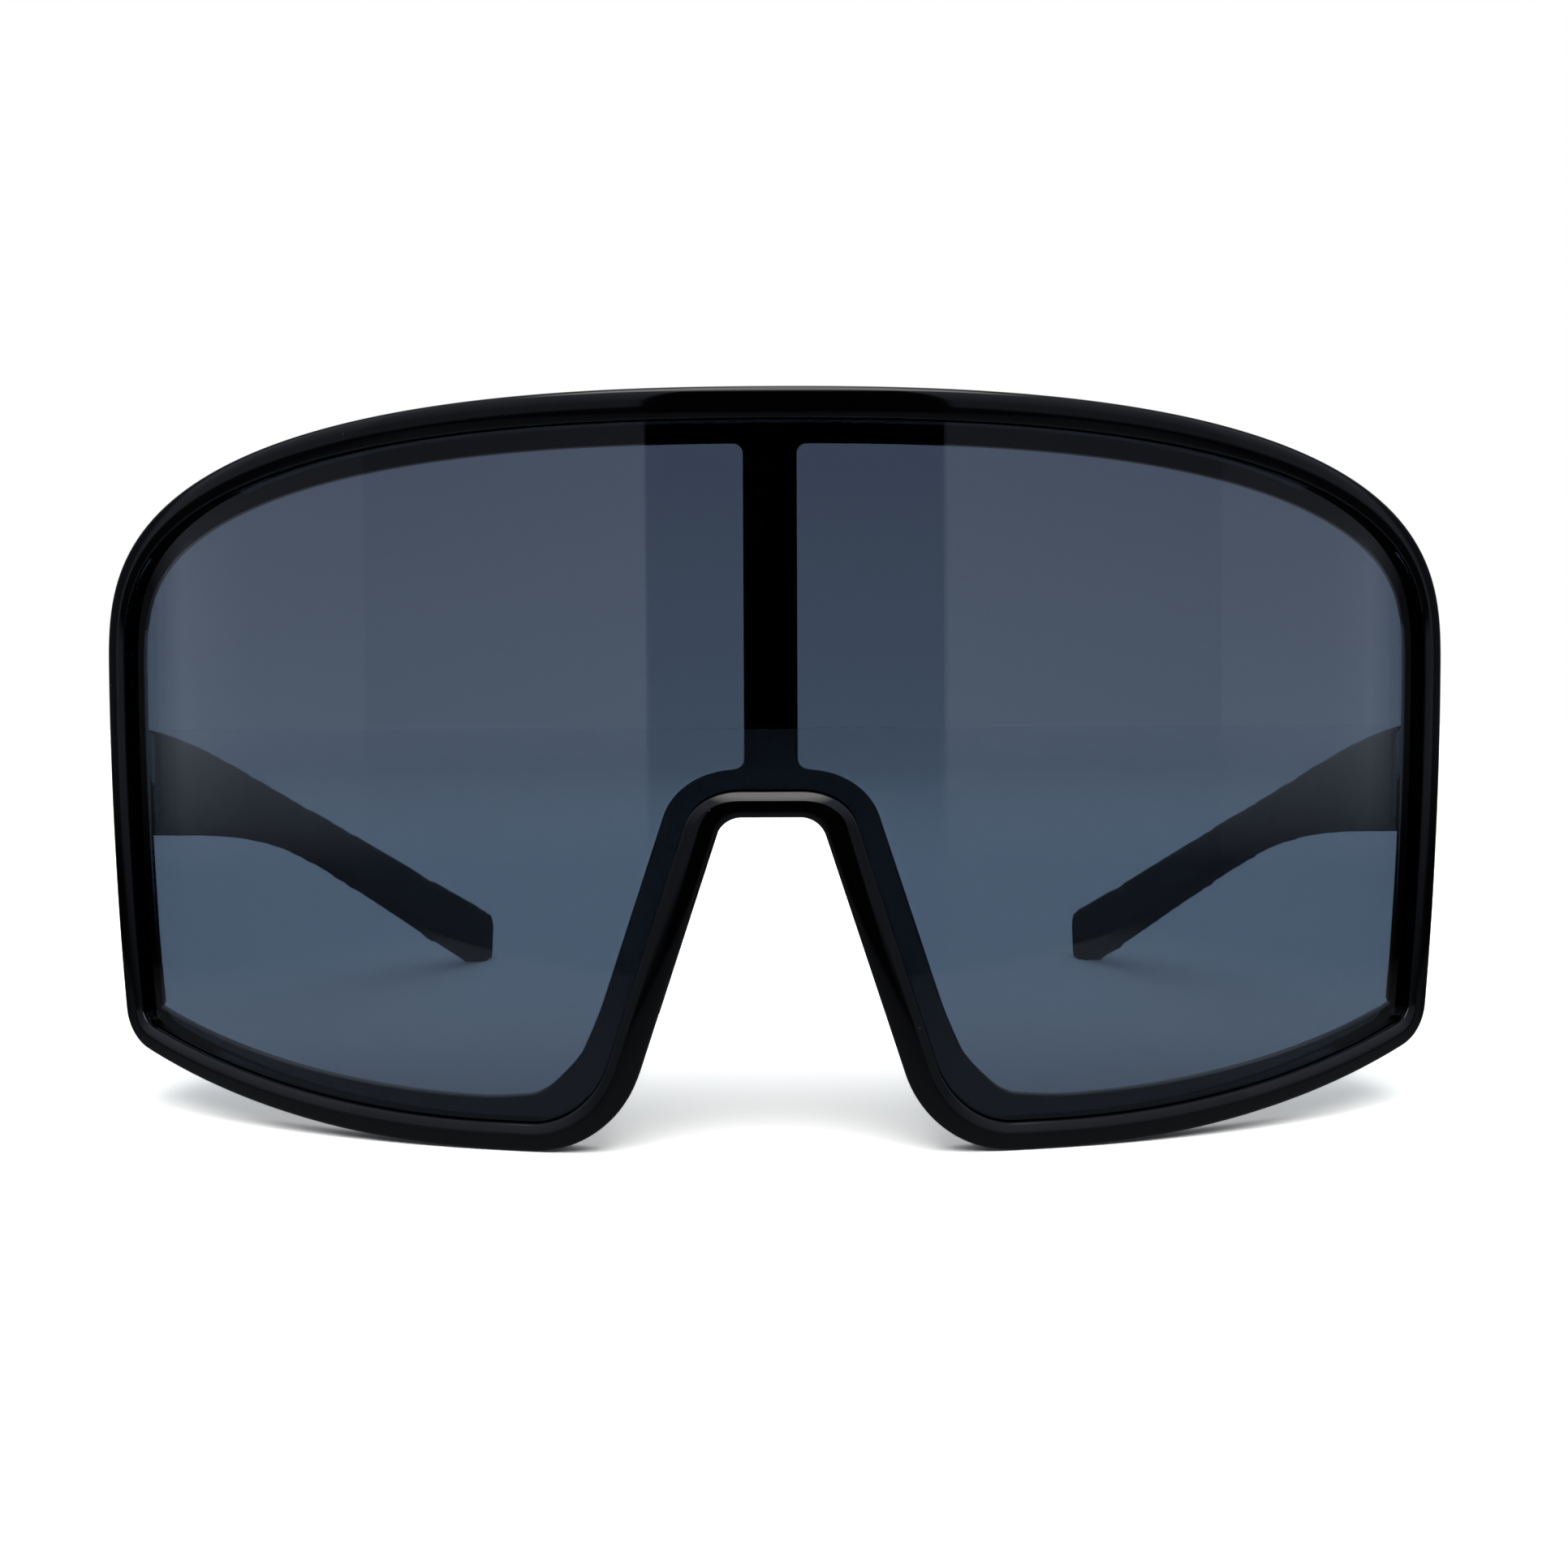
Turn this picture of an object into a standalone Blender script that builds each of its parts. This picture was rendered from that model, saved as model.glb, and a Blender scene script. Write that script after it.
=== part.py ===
"""Shield sunglasses: a moulded wrap front, one curved lens, nose pads, folding temples.

The front faces -Y, the temples run back along +Y and +Z is up. The glasses stand on
the two lobes of the front and on the two temple tips. Left and right are the wearer's,
so the left temple is the one at +X. All sizes are in metres.
"""
import math

import bpy
import bmesh
from mathutils import Matrix, Vector

# Outline of the front, seen square on
FRONT_WIDTH = 0.1461
FRONT_HEIGHT = 0.0740
WIDEST_LEVEL = 0.0473
BROW_EXPONENT = 2.84
JAW_INSET = 0.00235
JAW_LEVEL = 0.0076
JAW_ROUNDING = 0.0050
LOBE_ROUNDING = 0.0114
FOOT_LENGTH = 0.0040
NOSE_HEIGHT = 0.0328
NOSE_TOP_WIDTH = 0.0094
NOSE_SPLAY = math.radians(18.2)
NOSE_ROUNDING = 0.0026

# Plan curve: radius of the raised bead's crest about an upright axis
FRONT_RADIUS = 0.1040

# Rim: a raised bead outside, then a ledge behind the lens
BEAD_BROW = 0.0030
BEAD_SIDE = 0.0025
BEAD_JAW = 0.0026
BEAD_FOOT = 0.0027
BEAD_LEG = 0.0032
BEAD_ARCH = 0.0025
LEDGE_BROW = 0.0021
LEDGE_SIDE = 0.0024
LEDGE_JAW = 0.0019
LEDGE_FOOT = 0.0021
LEDGE_LEG = 0.0023
LEDGE_ARCH = 0.0021

# The ledge flares round the middle of each lobe, which lies after this station of outline_nodes
LOBE_START = 4
LOBE_FLARE = 0.0010
LOBE_REACH = 0.0125

# Depths and roundings of the bead, its flank and the ledge, then the centre bar and the lens
BEAD_PROUD = 0.0012
BEAD_ROUNDING = 0.0009
BEAD_CROWN = 0.0001
FLANK_RUN = 0.0008
LEDGE_THICKNESS = 0.0015
LEDGE_ROUNDING = 0.0002
BAR_WIDTH = 0.0052
BAR_ROUNDING = 0.0010
BAR_TURNS = 4
LENS_THICKNESS = 0.0018
FIT_GAP = 0.0003

# Hinges, each set into the thickness of the endpiece and the temple
HINGE_INSET = 0.00185
HINGE_LEVEL = 0.0346
HINGE_REACH = 0.0051
ENDPIECE_FLARE = 0.0012
ENDPIECE_BITE = 0.0007
ENDPIECE_RINGS = 4
KNUCKLE_RADIUS = 0.0012
KNUCKLE_MIDDLE = 0.0030
LEAF_THICKNESS = 0.0009
LEAF_HEIGHT = 0.0080
FRONT_LEAF_LENGTH = 0.0046
TEMPLE_LEAF_LENGTH = 0.0110
ANCHOR_RADIUS = 0.0009
SCREW_RADIUS = 0.0005
SCREW_CLEARANCE = 0.0002
SCREW_HEAD_RADIUS = 0.0011
SCREW_HEAD_HEIGHT = 0.0006
SCREW_BEVEL = 0.00015
SCREW_SLOT_WIDTH = 0.0004
SCREW_SLOT_DEPTH = 0.0003

# Temples; a station is a distance back from the hinge axis
TEMPLE_LENGTH = 0.1220
TEMPLE_ROOT_LEVEL = 0.0350
TEMPLE_ROOT_HEIGHT = 0.0120
TEMPLE_WAIST_HEIGHT = 0.00645
TEMPLE_TIP_HEIGHT = 0.0094
TEMPLE_WAIST_STATION = 0.0570
TEMPLE_BEND_STATION = 0.0660
TEMPLE_BEND_LEVEL = 0.02305
TEMPLE_ROOT_SLOPE = -0.09
TEMPLE_BEND_SLOPE = -0.31
TEMPLE_TIP_SLOPE = -0.40
TEMPLE_WIDENING_POWER = 1.5
TEMPLE_TILT_START = 0.0200
TEMPLE_SLOPE_STEP = 0.0001
TEMPLE_ROOT_THICKNESS = 0.0040
TEMPLE_WAIST_THICKNESS = 0.0034
TEMPLE_TIP_THICKNESS = 0.0042
TEMPLE_WRAP = 0.0210
TEMPLE_EDGE_ROUNDING = 0.0012
TEMPLE_EDGE_LIMIT = 0.45
TIP_ROUNDING = 0.0032
TIP_SINK = 0.00035

# Nose pads: a soft fin behind each leg of the nose arch, held by two pegs
PAD_TOP_LEVEL = 0.0312
PAD_LENGTH = 0.0180
PAD_BASE_WIDTH = 0.0026
PAD_TIP_WIDTH = 0.0016
PAD_REACH = 0.0068
PAD_TOP_FLARE = math.radians(2.0)
PAD_LOW_FLARE = math.radians(34.0)
PAD_LEAN_POWER = 1.3
PAD_SHORTENING = 0.9
PAD_SHORTENING_POWER = 4
PAD_PROFILE = ((0.0, 1.0), (0.35, 1.0), (0.7, 1.0), (0.93, 0.85), (1.0, 0.4))
PEG_RADIUS = 0.0006
PEG_LENGTH = 0.0018
PEG_SPACING = 0.0080
PEG_ROOTING = 0.0009

# Fineness of the faceted curves
OUTLINE_STEP = 0.0036
OUTLINE_TURN = math.radians(11.0)
FINE_STEPS = 160
LENS_STRIP = 0.0036
TEMPLE_RINGS = 30
TIP_RINGS = 3
CORNER_STEPS = 2
PAD_RINGS = 12
ROUND_SIDES = 24
PEG_SIDES = 12

HALF_WIDTH = FRONT_WIDTH / 2
LEDGE_FRONT = BEAD_PROUD + LENS_THICKNESS + FIT_GAP
RIM_DEPTH = LEDGE_FRONT + LEDGE_THICKNESS
HINGE_X = HALF_WIDTH - HINGE_INSET
INNER_FACE_X = HINGE_X - KNUCKLE_RADIUS
POCKET_RADIUS = KNUCKLE_RADIUS + FIT_GAP

# The tip is cut square to its slope: its upper corner ends the temple's length, and its lower
# corner would sink a little below the table, so that it is worn to a flat foot there
TIP_TILT = math.atan(-TEMPLE_TIP_SLOPE)
TIP_CORE = TEMPLE_TIP_HEIGHT / 2 - TIP_ROUNDING
TIP_STATION = (TEMPLE_LENGTH - TIP_ROUNDING * (1 - math.cos(TIP_TILT))
               - TIP_CORE * math.sin(TIP_TILT))
TIP_LEVEL = TIP_ROUNDING * (1 - math.sin(TIP_TILT)) - TIP_SINK + TIP_CORE * math.cos(TIP_TILT)


def mix(start, end, share):
    return start + (end - start) * share


def ease(share):
    return share * share * (3 - 2 * share)


def wrapped_y(x, depth):
    """How far back a point lies that is `depth` behind the crest, x off the middle."""
    return FRONT_RADIUS - math.sqrt((FRONT_RADIUS - depth) ** 2 - x * x)


HINGE_Y = wrapped_y(HINGE_X, RIM_DEPTH) + HINGE_REACH


# Scene, collections and materials

def clear_scene():
    for item in list(bpy.data.objects):
        bpy.data.objects.remove(item, do_unlink=True)


def new_collection(name):
    collection = bpy.data.collections.new(name)
    bpy.context.scene.collection.children.link(collection)
    return collection


def new_material(name, colour, roughness, metallic=0.0, alpha=1.0):
    material = bpy.data.materials.new(name)
    material.use_nodes = True
    shader = material.node_tree.nodes["Principled BSDF"]
    shader.inputs["Base Color"].default_value = (*colour, 1.0)
    shader.inputs["Roughness"].default_value = roughness
    shader.inputs["Metallic"].default_value = metallic
    shader.inputs["Alpha"].default_value = alpha
    return material


clear_scene()
PARTS = new_collection("shield_sunglasses")
CUTTERS = new_collection("cutters")

FRONT_PLASTIC = new_material("front_gloss_polycarbonate", (0.008, 0.008, 0.010), 0.08)
TEMPLE_PLASTIC = new_material("temple_gloss_polycarbonate", (0.010, 0.010, 0.012), 0.14)
LENS_PLASTIC = new_material("smoke_polycarbonate", (0.07, 0.095, 0.14), 0.03, alpha=0.45)
PAD_RUBBER = new_material("pad_rubber", (0.012, 0.012, 0.013), 0.55)
LEAF_METAL = new_material("blackened_hinge_steel", (0.05, 0.05, 0.055), 0.35, metallic=1.0)
SCREW_METAL = new_material("blackened_screw_steel", (0.08, 0.08, 0.085), 0.30, metallic=1.0)


def new_empty(name, location, parent=None):
    empty = bpy.data.objects.new(name, None)
    empty.empty_display_size = 0.005
    empty.location = location
    empty.parent = parent
    PARTS.objects.link(empty)
    return empty


def object_from(bm, name, parent, material=None, sharp_angle=35.0):
    """Store a bmesh as a named object; without a material it is a tool for a Boolean."""
    bmesh.ops.recalc_face_normals(bm, faces=bm.faces[:])
    mesh = bpy.data.meshes.new(name)
    bm.to_mesh(mesh)
    bm.free()
    item = bpy.data.objects.new(name, mesh)
    item.parent = parent
    if material is None:
        item.hide_render = True
        item.display_type = "WIRE"
        CUTTERS.objects.link(item)
        return item
    mesh.materials.append(material)
    mesh.shade_smooth()
    mesh.set_sharp_from_angle(angle=math.radians(sharp_angle))
    PARTS.objects.link(item)
    return item


def combine(target, bm, name, operation):
    """Join a solid to the target, or cut it away, in the frame that carries the target."""
    tool = object_from(bm, f"{target.name}_{name}", target.parent)
    boolean = target.modifiers.new(name, "BOOLEAN")
    boolean.operation = operation
    boolean.solver = "EXACT"
    boolean.object = tool


# Shape builders

def loft(rings, closed):
    """Skin a row of equal rings; a closed row returns to its start, an open one is capped."""
    bm = bmesh.new()
    loops = [[bm.verts.new(point) for point in ring] for ring in rings]
    pairs = list(zip(loops, loops[1:]))
    if closed:
        pairs.append((loops[-1], loops[0]))
    for near, far in pairs:
        for k in range(len(near)):
            bm.faces.new((near[k - 1], near[k], far[k], far[k - 1]))
    if not closed:
        bm.faces.new(loops[0])
        bm.faces.new(loops[-1])
    bmesh.ops.triangulate(bm, faces=bm.faces[:])
    return bm


def prism(outline, direction):
    """Push a flat outline along a direction into a closed solid."""
    bm = bmesh.new()
    face = bm.faces.new([bm.verts.new(point) for point in outline])
    pushed = bmesh.ops.extrude_face_region(bm, geom=[face])
    moved = [item for item in pushed["geom"] if isinstance(item, bmesh.types.BMVert)]
    bmesh.ops.translate(bm, verts=moved, vec=direction)
    return bm


def box(corner, opposite):
    corner = Vector(corner)
    opposite = Vector(opposite)
    size = [abs(length) for length in opposite - corner]
    bm = bmesh.new()
    bmesh.ops.create_cube(bm, size=1.0)
    bmesh.ops.scale(bm, verts=bm.verts[:], vec=size)
    bmesh.ops.translate(bm, verts=bm.verts[:], vec=(corner + opposite) / 2)
    return bm


def rod(radius, start, end, sides=ROUND_SIDES):
    start = Vector(start)
    along = Vector(end) - start
    turned = along.to_track_quat("Z", "Y").to_matrix().to_4x4()
    bm = bmesh.new()
    bmesh.ops.create_cone(bm, cap_ends=True, segments=sides, radius1=radius, radius2=radius,
                          depth=along.length, matrix=Matrix.Translation(start + along / 2) @ turned)
    return bm


def moved_by(bm, offset):
    bmesh.ops.translate(bm, verts=bm.verts[:], vec=offset)
    return bm


def rounded_rectangle(low_x, high_x, low_z, high_z, radius, y):
    """A ring of points: a rectangle at one y with eased corners."""
    corners = ((high_x - radius, high_z - radius, 0), (low_x + radius, high_z - radius, 90),
               (low_x + radius, low_z + radius, 180), (high_x - radius, low_z + radius, 270))
    ring = []
    for x, z, start in corners:
        for step in range(CORNER_STEPS + 1):
            angle = math.radians(start + 90 * step / CORNER_STEPS)
            ring.append((x + radius * math.cos(angle), y, z + radius * math.sin(angle)))
    return ring


def on_side(side, points):
    """Points made for the wearer's left, mirrored when the side is -1."""
    return [(side * x, y, z) for x, y, z in points]


# Outline of the front

class Station:
    """A point of the outline, its heading, and the widths of bead and ledge there."""

    def __init__(self, x, z, heading, bead, ledge):
        self.x = x
        self.z = z
        self.heading = heading
        self.bead = bead
        self.ledge = ledge

    def inward(self, offset):
        x = self.x + math.sin(self.heading) * offset
        z = self.z - math.cos(self.heading) * offset
        return x, z


def bend(start, end, share):
    """A station on the even curve that leaves one station and arrives at the next."""
    first = Vector((start.x, start.z))
    last = Vector((end.x, end.z))
    turn = end.heading - start.heading
    handle = (last - first).length / (3 * math.cos(turn / 4) ** 2)
    leave = first + handle * Vector((math.cos(start.heading), math.sin(start.heading)))
    arrive = last - handle * Vector((math.cos(end.heading), math.sin(end.heading)))
    rest = 1 - share
    point = (rest ** 3 * first + 3 * rest ** 2 * share * leave
             + 3 * rest * share ** 2 * arrive + share ** 3 * last)
    bead = mix(start.bead, end.bead, ease(share))
    ledge = mix(start.ledge, end.ledge, ease(share))
    return Station(point.x, point.y, mix(start.heading, end.heading, share), bead, ledge)


def brow(share):
    """The brow, a superellipse, from the middle of the top edge to the widest level."""
    rise = FRONT_HEIGHT - WIDEST_LEVEL
    angle = math.pi / 2 * (1 - share)
    across = max(math.cos(angle), 0.0) ** (2 / BROW_EXPONENT)
    up = max(math.sin(angle), 0.0) ** (2 / BROW_EXPONENT)
    normal_x = across ** (BROW_EXPONENT - 1) / HALF_WIDTH
    normal_z = up ** (BROW_EXPONENT - 1) / rise
    bead = mix(BEAD_BROW, BEAD_SIDE, ease(share))
    ledge = mix(LEDGE_BROW, LEDGE_SIDE, ease(share))
    return Station(HALF_WIDTH * across, WIDEST_LEVEL + rise * up,
                   math.atan2(-normal_x, normal_z), bead, ledge)


def outline_nodes():
    """The stations below the brow where one round stretch hands over to the next."""
    leg_heading = math.radians(-270) + NOSE_SPLAY
    leg_foot_x = NOSE_TOP_WIDTH / 2 + NOSE_HEIGHT * math.tan(NOSE_SPLAY)
    half_turn = (math.pi / 2 - NOSE_SPLAY) / 2
    lobe_tangent = LOBE_ROUNDING * math.tan(half_turn)
    arch_tangent = NOSE_ROUNDING * math.tan(half_turn)
    foot_inner = leg_foot_x + lobe_tangent
    foot_outer = foot_inner + FOOT_LENGTH

    side_drop = WIDEST_LEVEL - JAW_LEVEL
    side_radius = (side_drop ** 2 + JAW_INSET ** 2) / (2 * JAW_INSET)
    side_turn = 2 * math.atan(JAW_INSET / side_drop)
    base_run = HALF_WIDTH - JAW_INSET - foot_outer
    base_radius = (base_run ** 2 + JAW_LEVEL ** 2) / (2 * JAW_LEVEL)
    base_turn = 2 * math.atan(JAW_LEVEL / base_run)
    jaw_tangent = JAW_ROUNDING * math.tan((math.pi / 2 - side_turn - base_turn) / 2)
    side_angle = side_turn - jaw_tangent / side_radius
    base_angle = base_turn - jaw_tangent / base_radius

    return [
        Station(HALF_WIDTH, WIDEST_LEVEL, math.radians(-90), BEAD_SIDE, LEDGE_SIDE),
        Station(HALF_WIDTH - side_radius * (1 - math.cos(side_angle)),
                WIDEST_LEVEL - side_radius * math.sin(side_angle),
                math.radians(-90) - side_angle, BEAD_SIDE, LEDGE_SIDE),
        Station(foot_outer + base_radius * math.sin(base_angle),
                base_radius * (1 - math.cos(base_angle)),
                math.radians(-180) + base_angle, BEAD_JAW, LEDGE_JAW),
        Station(foot_outer, 0.0, math.radians(-180), BEAD_FOOT, LEDGE_FOOT),
        Station(foot_inner, 0.0, math.radians(-180), BEAD_FOOT, LEDGE_FOOT),
        Station(leg_foot_x - lobe_tangent * math.sin(NOSE_SPLAY),
                lobe_tangent * math.cos(NOSE_SPLAY), leg_heading, BEAD_LEG, LEDGE_LEG),
        Station(NOSE_TOP_WIDTH / 2 + arch_tangent * math.sin(NOSE_SPLAY),
                NOSE_HEIGHT - arch_tangent * math.cos(NOSE_SPLAY), leg_heading, BEAD_LEG, LEDGE_LEG),
        Station(NOSE_TOP_WIDTH / 2 - arch_tangent, NOSE_HEIGHT, math.radians(-180),
                BEAD_ARCH, LEDGE_ARCH),
        Station(0.0, NOSE_HEIGHT, math.radians(-180), BEAD_ARCH, LEDGE_ARCH),
    ]


def spaced(stretch):
    """Keep both ends and only those stations that the step and the turn call for."""
    kept = [stretch[0]]
    for here, after in zip(stretch[1:], stretch[2:]):
        last = kept[-1]
        too_far = math.hypot(after.x - last.x, after.z - last.z) > OUTLINE_STEP
        too_bent = abs(after.heading - last.heading) > OUTLINE_TURN
        if too_far or too_bent:
            kept.append(here)
    kept.append(stretch[-1])
    return kept


def front_outline():
    """Stations all round the front, clockwise from the middle of the brow."""
    shares = [k / FINE_STEPS for k in range(FINE_STEPS + 1)]
    half = spaced([brow(share) for share in shares])
    nodes = outline_nodes()
    for start, end in zip(nodes, nodes[1:]):
        half += spaced([bend(start, end, share) for share in shares])[1:]
    lobe = bend(nodes[LOBE_START], nodes[LOBE_START + 1], 0.5)
    for station in half:
        away = math.hypot(station.x - lobe.x, station.z - lobe.z)
        station.ledge += LOBE_FLARE * ease(max(0.0, 1 - away / LOBE_REACH))
    other = [Station(-s.x, s.z, -s.heading, s.bead, s.ledge) for s in reversed(half[1:-1])]
    return half + other


OUTLINE = front_outline()


# Front frame

def rim_section(bead, ledge):
    """The rim's section: offsets in from the outline and depths behind the crest."""
    eased = BEAD_ROUNDING * (1 - math.sqrt(0.5))
    return [
        (0.0, RIM_DEPTH),
        (0.0, BEAD_CROWN + BEAD_ROUNDING),
        (eased, BEAD_CROWN + eased),
        (BEAD_ROUNDING, BEAD_CROWN),
        (bead / 2, 0.0),
        (bead - FLANK_RUN, BEAD_CROWN),
        (bead - FLANK_RUN / 4, BEAD_PROUD / 2),
        (bead, BEAD_PROUD),
        (bead, LEDGE_FRONT),
        (bead + ledge - LEDGE_ROUNDING, LEDGE_FRONT),
        (bead + ledge, LEDGE_FRONT + LEDGE_ROUNDING),
        (bead + ledge, RIM_DEPTH),
    ]


def rim_solid():
    rings = []
    for station in OUTLINE:
        ring = []
        for offset, depth in rim_section(station.bead, station.ledge):
            x, z = station.inward(offset)
            ring.append((x, wrapped_y(x, depth), z))
        rings.append(ring)
    return loft(rings, closed=True)


def centre_bar():
    """The upright bar behind the lens, flared where it meets the brow and the arch."""
    low = NOSE_HEIGHT + BEAD_ARCH + LEDGE_ARCH
    high = FRONT_HEIGHT - BEAD_BROW - LEDGE_BROW
    half = BAR_WIDTH / 2
    bite = LEDGE_ROUNDING + FIT_GAP
    skin = LEDGE_ROUNDING / 2
    quarter = [math.pi / 2 * k / BAR_TURNS for k in range(BAR_TURNS + 1)]
    side = [(half + BAR_ROUNDING, low - bite)]
    side += [(half + BAR_ROUNDING * (1 - math.sin(a)), low + BAR_ROUNDING * (1 - math.cos(a)))
             for a in quarter]
    side += [(half + BAR_ROUNDING * (1 - math.cos(a)), high - BAR_ROUNDING * (1 - math.sin(a)))
             for a in quarter]
    side += [(half + BAR_ROUNDING, high + bite)]
    loop = side + [(-x, z) for x, z in reversed(side)]
    front = LEDGE_FRONT + skin
    return prism([(x, front, z) for x, z in loop], (0, LEDGE_THICKNESS - 2 * skin, 0))


def endpiece(side):
    """The lug that runs back from the rim's side to the hinge, flared out of the rim."""
    start_y = wrapped_y(INNER_FACE_X, RIM_DEPTH) - ENDPIECE_BITE
    rings = []
    for k in range(ENDPIECE_RINGS + 1):
        share = k / ENDPIECE_RINGS
        grown = ease(share)
        outer = mix(HALF_WIDTH - BEAD_ROUNDING / 2, INNER_FACE_X + TEMPLE_ROOT_THICKNESS, grown)
        half = TEMPLE_ROOT_HEIGHT / 2 + ENDPIECE_FLARE * (1 - grown)
        ring = rounded_rectangle(INNER_FACE_X, outer, TEMPLE_ROOT_LEVEL - half,
                                 TEMPLE_ROOT_LEVEL + half, TEMPLE_EDGE_ROUNDING,
                                 mix(start_y, HINGE_Y, share))
        rings.append(on_side(side, ring))
    return loft(rings, closed=False)


def leg_edge(level):
    """Where the nose opening's left edge lies at a level."""
    return NOSE_TOP_WIDTH / 2 + (NOSE_HEIGHT - level) * math.tan(NOSE_SPLAY)


def peg_places():
    """The x and z of a left nose pad's two pegs."""
    middle = PAD_TOP_LEVEL - PAD_LENGTH / 2
    levels = (middle - PEG_SPACING / 2, middle + PEG_SPACING / 2)
    return [(leg_edge(level) + PAD_BASE_WIDTH / 2, level) for level in levels]


def hinge_slot(side, start, end):
    """The room round a hinge leaf; start and end are stations from the hinge axis."""
    half = LEAF_HEIGHT / 2 + FIT_GAP
    return box((-side * FIT_GAP, start, -half), (side * (LEAF_THICKNESS + FIT_GAP), end, half))


def knuckle_pocket():
    """The room round the knuckles, open above so that the screw can go in."""
    return rod(POCKET_RADIUS, (0, 0, -LEAF_HEIGHT / 2 - FIT_GAP), (0, 0, TEMPLE_ROOT_HEIGHT))


def make_front_frame(root):
    frame = object_from(rim_solid(), "front_frame", root, FRONT_PLASTIC)
    combine(frame, centre_bar(), "centre_bar", "UNION")
    for side, word in ((1, "left"), (-1, "right")):
        axis = (side * HINGE_X, HINGE_Y, HINGE_LEVEL)
        slot = hinge_slot(side, -FRONT_LEAF_LENGTH - FIT_GAP, KNUCKLE_RADIUS)
        combine(frame, endpiece(side), f"endpiece_{word}", "UNION")
        combine(frame, moved_by(slot, axis), f"slot_{word}", "DIFFERENCE")
        combine(frame, moved_by(knuckle_pocket(), axis), f"pocket_{word}", "DIFFERENCE")
        for number, (x, z) in enumerate(peg_places()):
            back = wrapped_y(x, RIM_DEPTH)
            hole = rod(PEG_RADIUS + FIT_GAP, (side * x, back - PEG_LENGTH, z),
                       (side * x, back + FIT_GAP, z), PEG_SIDES)
            combine(frame, hole, f"peg_hole_{word}_{number}", "DIFFERENCE")


# Lens

def make_lens(root):
    """A flat blank cut to the rebate, scored into upright strips and bent to the front."""
    bm = bmesh.new()
    edge = []
    for station in OUTLINE:
        x, z = station.inward(station.bead + FIT_GAP)
        edge.append(bm.verts.new((x, 0.0, z)))
    bm.faces.new(edge)
    strips = int(HALF_WIDTH / LENS_STRIP)
    for k in range(-strips, strips + 1):
        bmesh.ops.bisect_plane(bm, geom=bm.verts[:] + bm.edges[:] + bm.faces[:],
                               plane_co=(k * LENS_STRIP, 0, 0), plane_no=(1, 0, 0), dist=1e-6)
    front = set(bm.verts)
    bmesh.ops.extrude_face_region(bm, geom=bm.faces[:])
    for vertex in bm.verts:
        depth = BEAD_PROUD if vertex in front else BEAD_PROUD + LENS_THICKNESS
        vertex.co.y = wrapped_y(vertex.co.x, depth)
    bmesh.ops.triangulate(bm, faces=bm.faces[:])
    object_from(bm, "shield_lens", root, LENS_PLASTIC, sharp_angle=40.0)


# Nose pads

def pad_ring(along):
    """One level of a left pad seen from above; the fin twists outward as it goes down."""
    level = PAD_TOP_LEVEL - PAD_LENGTH * along
    shortened = PAD_SHORTENING * (2 * along - 1) ** PAD_SHORTENING_POWER
    reach = PAD_REACH * math.sqrt(1 - shortened)
    lean = math.tan(mix(PAD_TOP_FLARE, PAD_LOW_FLARE, along))
    inner = []
    outer = []
    for share, fullness in PAD_PROFILE:
        middle = leg_edge(level) + PAD_BASE_WIDTH / 2 + lean * reach * share ** PAD_LEAN_POWER
        half = mix(PAD_BASE_WIDTH, PAD_TIP_WIDTH, share) * fullness / 2
        back = FIT_GAP + reach * share
        inner.append((middle - half, wrapped_y(middle - half, RIM_DEPTH) + back, level))
        outer.append((middle + half, wrapped_y(middle + half, RIM_DEPTH) + back, level))
    return inner + outer[::-1]


def make_nose_pad(side, name, root):
    rings = [on_side(side, pad_ring(k / PAD_RINGS)) for k in range(PAD_RINGS + 1)]
    pad = object_from(loft(rings, closed=False), name, root, PAD_RUBBER, sharp_angle=50.0)
    for number, (x, z) in enumerate(peg_places()):
        back = wrapped_y(x, RIM_DEPTH)
        peg = rod(PEG_RADIUS, (side * x, back - PEG_LENGTH + FIT_GAP, z),
                  (side * x, back + PEG_ROOTING, z), PEG_SIDES)
        combine(pad, peg, f"peg_{number}", "UNION")


# Temples

def hermite(start, end, start_slope, end_slope, span, share):
    square = share * share
    cube = square * share
    return ((2 * cube - 3 * square + 1) * start + (cube - 2 * square + share) * span * start_slope
            + (3 * square - 2 * cube) * end + (cube - square) * span * end_slope)


def temple_height(station):
    """The temple's height across its middle line."""
    if station < TEMPLE_WAIST_STATION:
        return mix(TEMPLE_ROOT_HEIGHT, TEMPLE_WAIST_HEIGHT, ease(station / TEMPLE_WAIST_STATION))
    widened = (station - TEMPLE_WAIST_STATION) / (TIP_STATION - TEMPLE_WAIST_STATION)
    return mix(TEMPLE_WAIST_HEIGHT, TEMPLE_TIP_HEIGHT, widened ** TEMPLE_WIDENING_POWER)


def temple_level(station):
    """Height of the temple's middle line above the table."""
    if station < TEMPLE_BEND_STATION:
        return hermite(TEMPLE_ROOT_LEVEL, TEMPLE_BEND_LEVEL, TEMPLE_ROOT_SLOPE,
                       TEMPLE_BEND_SLOPE, TEMPLE_BEND_STATION, station / TEMPLE_BEND_STATION)
    span = TIP_STATION - TEMPLE_BEND_STATION
    return hermite(TEMPLE_BEND_LEVEL, TIP_LEVEL, TEMPLE_BEND_SLOPE, TEMPLE_TIP_SLOPE, span,
                   (station - TEMPLE_BEND_STATION) / span)


def temple_tilt(station):
    """How far a section leans with the middle line; at the hinge it stands upright."""
    ahead = temple_level(station + TEMPLE_SLOPE_STEP)
    slope = (ahead - temple_level(station)) / TEMPLE_SLOPE_STEP
    return math.atan(-slope) * ease(min(station / TEMPLE_TILT_START, 1.0))


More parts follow.
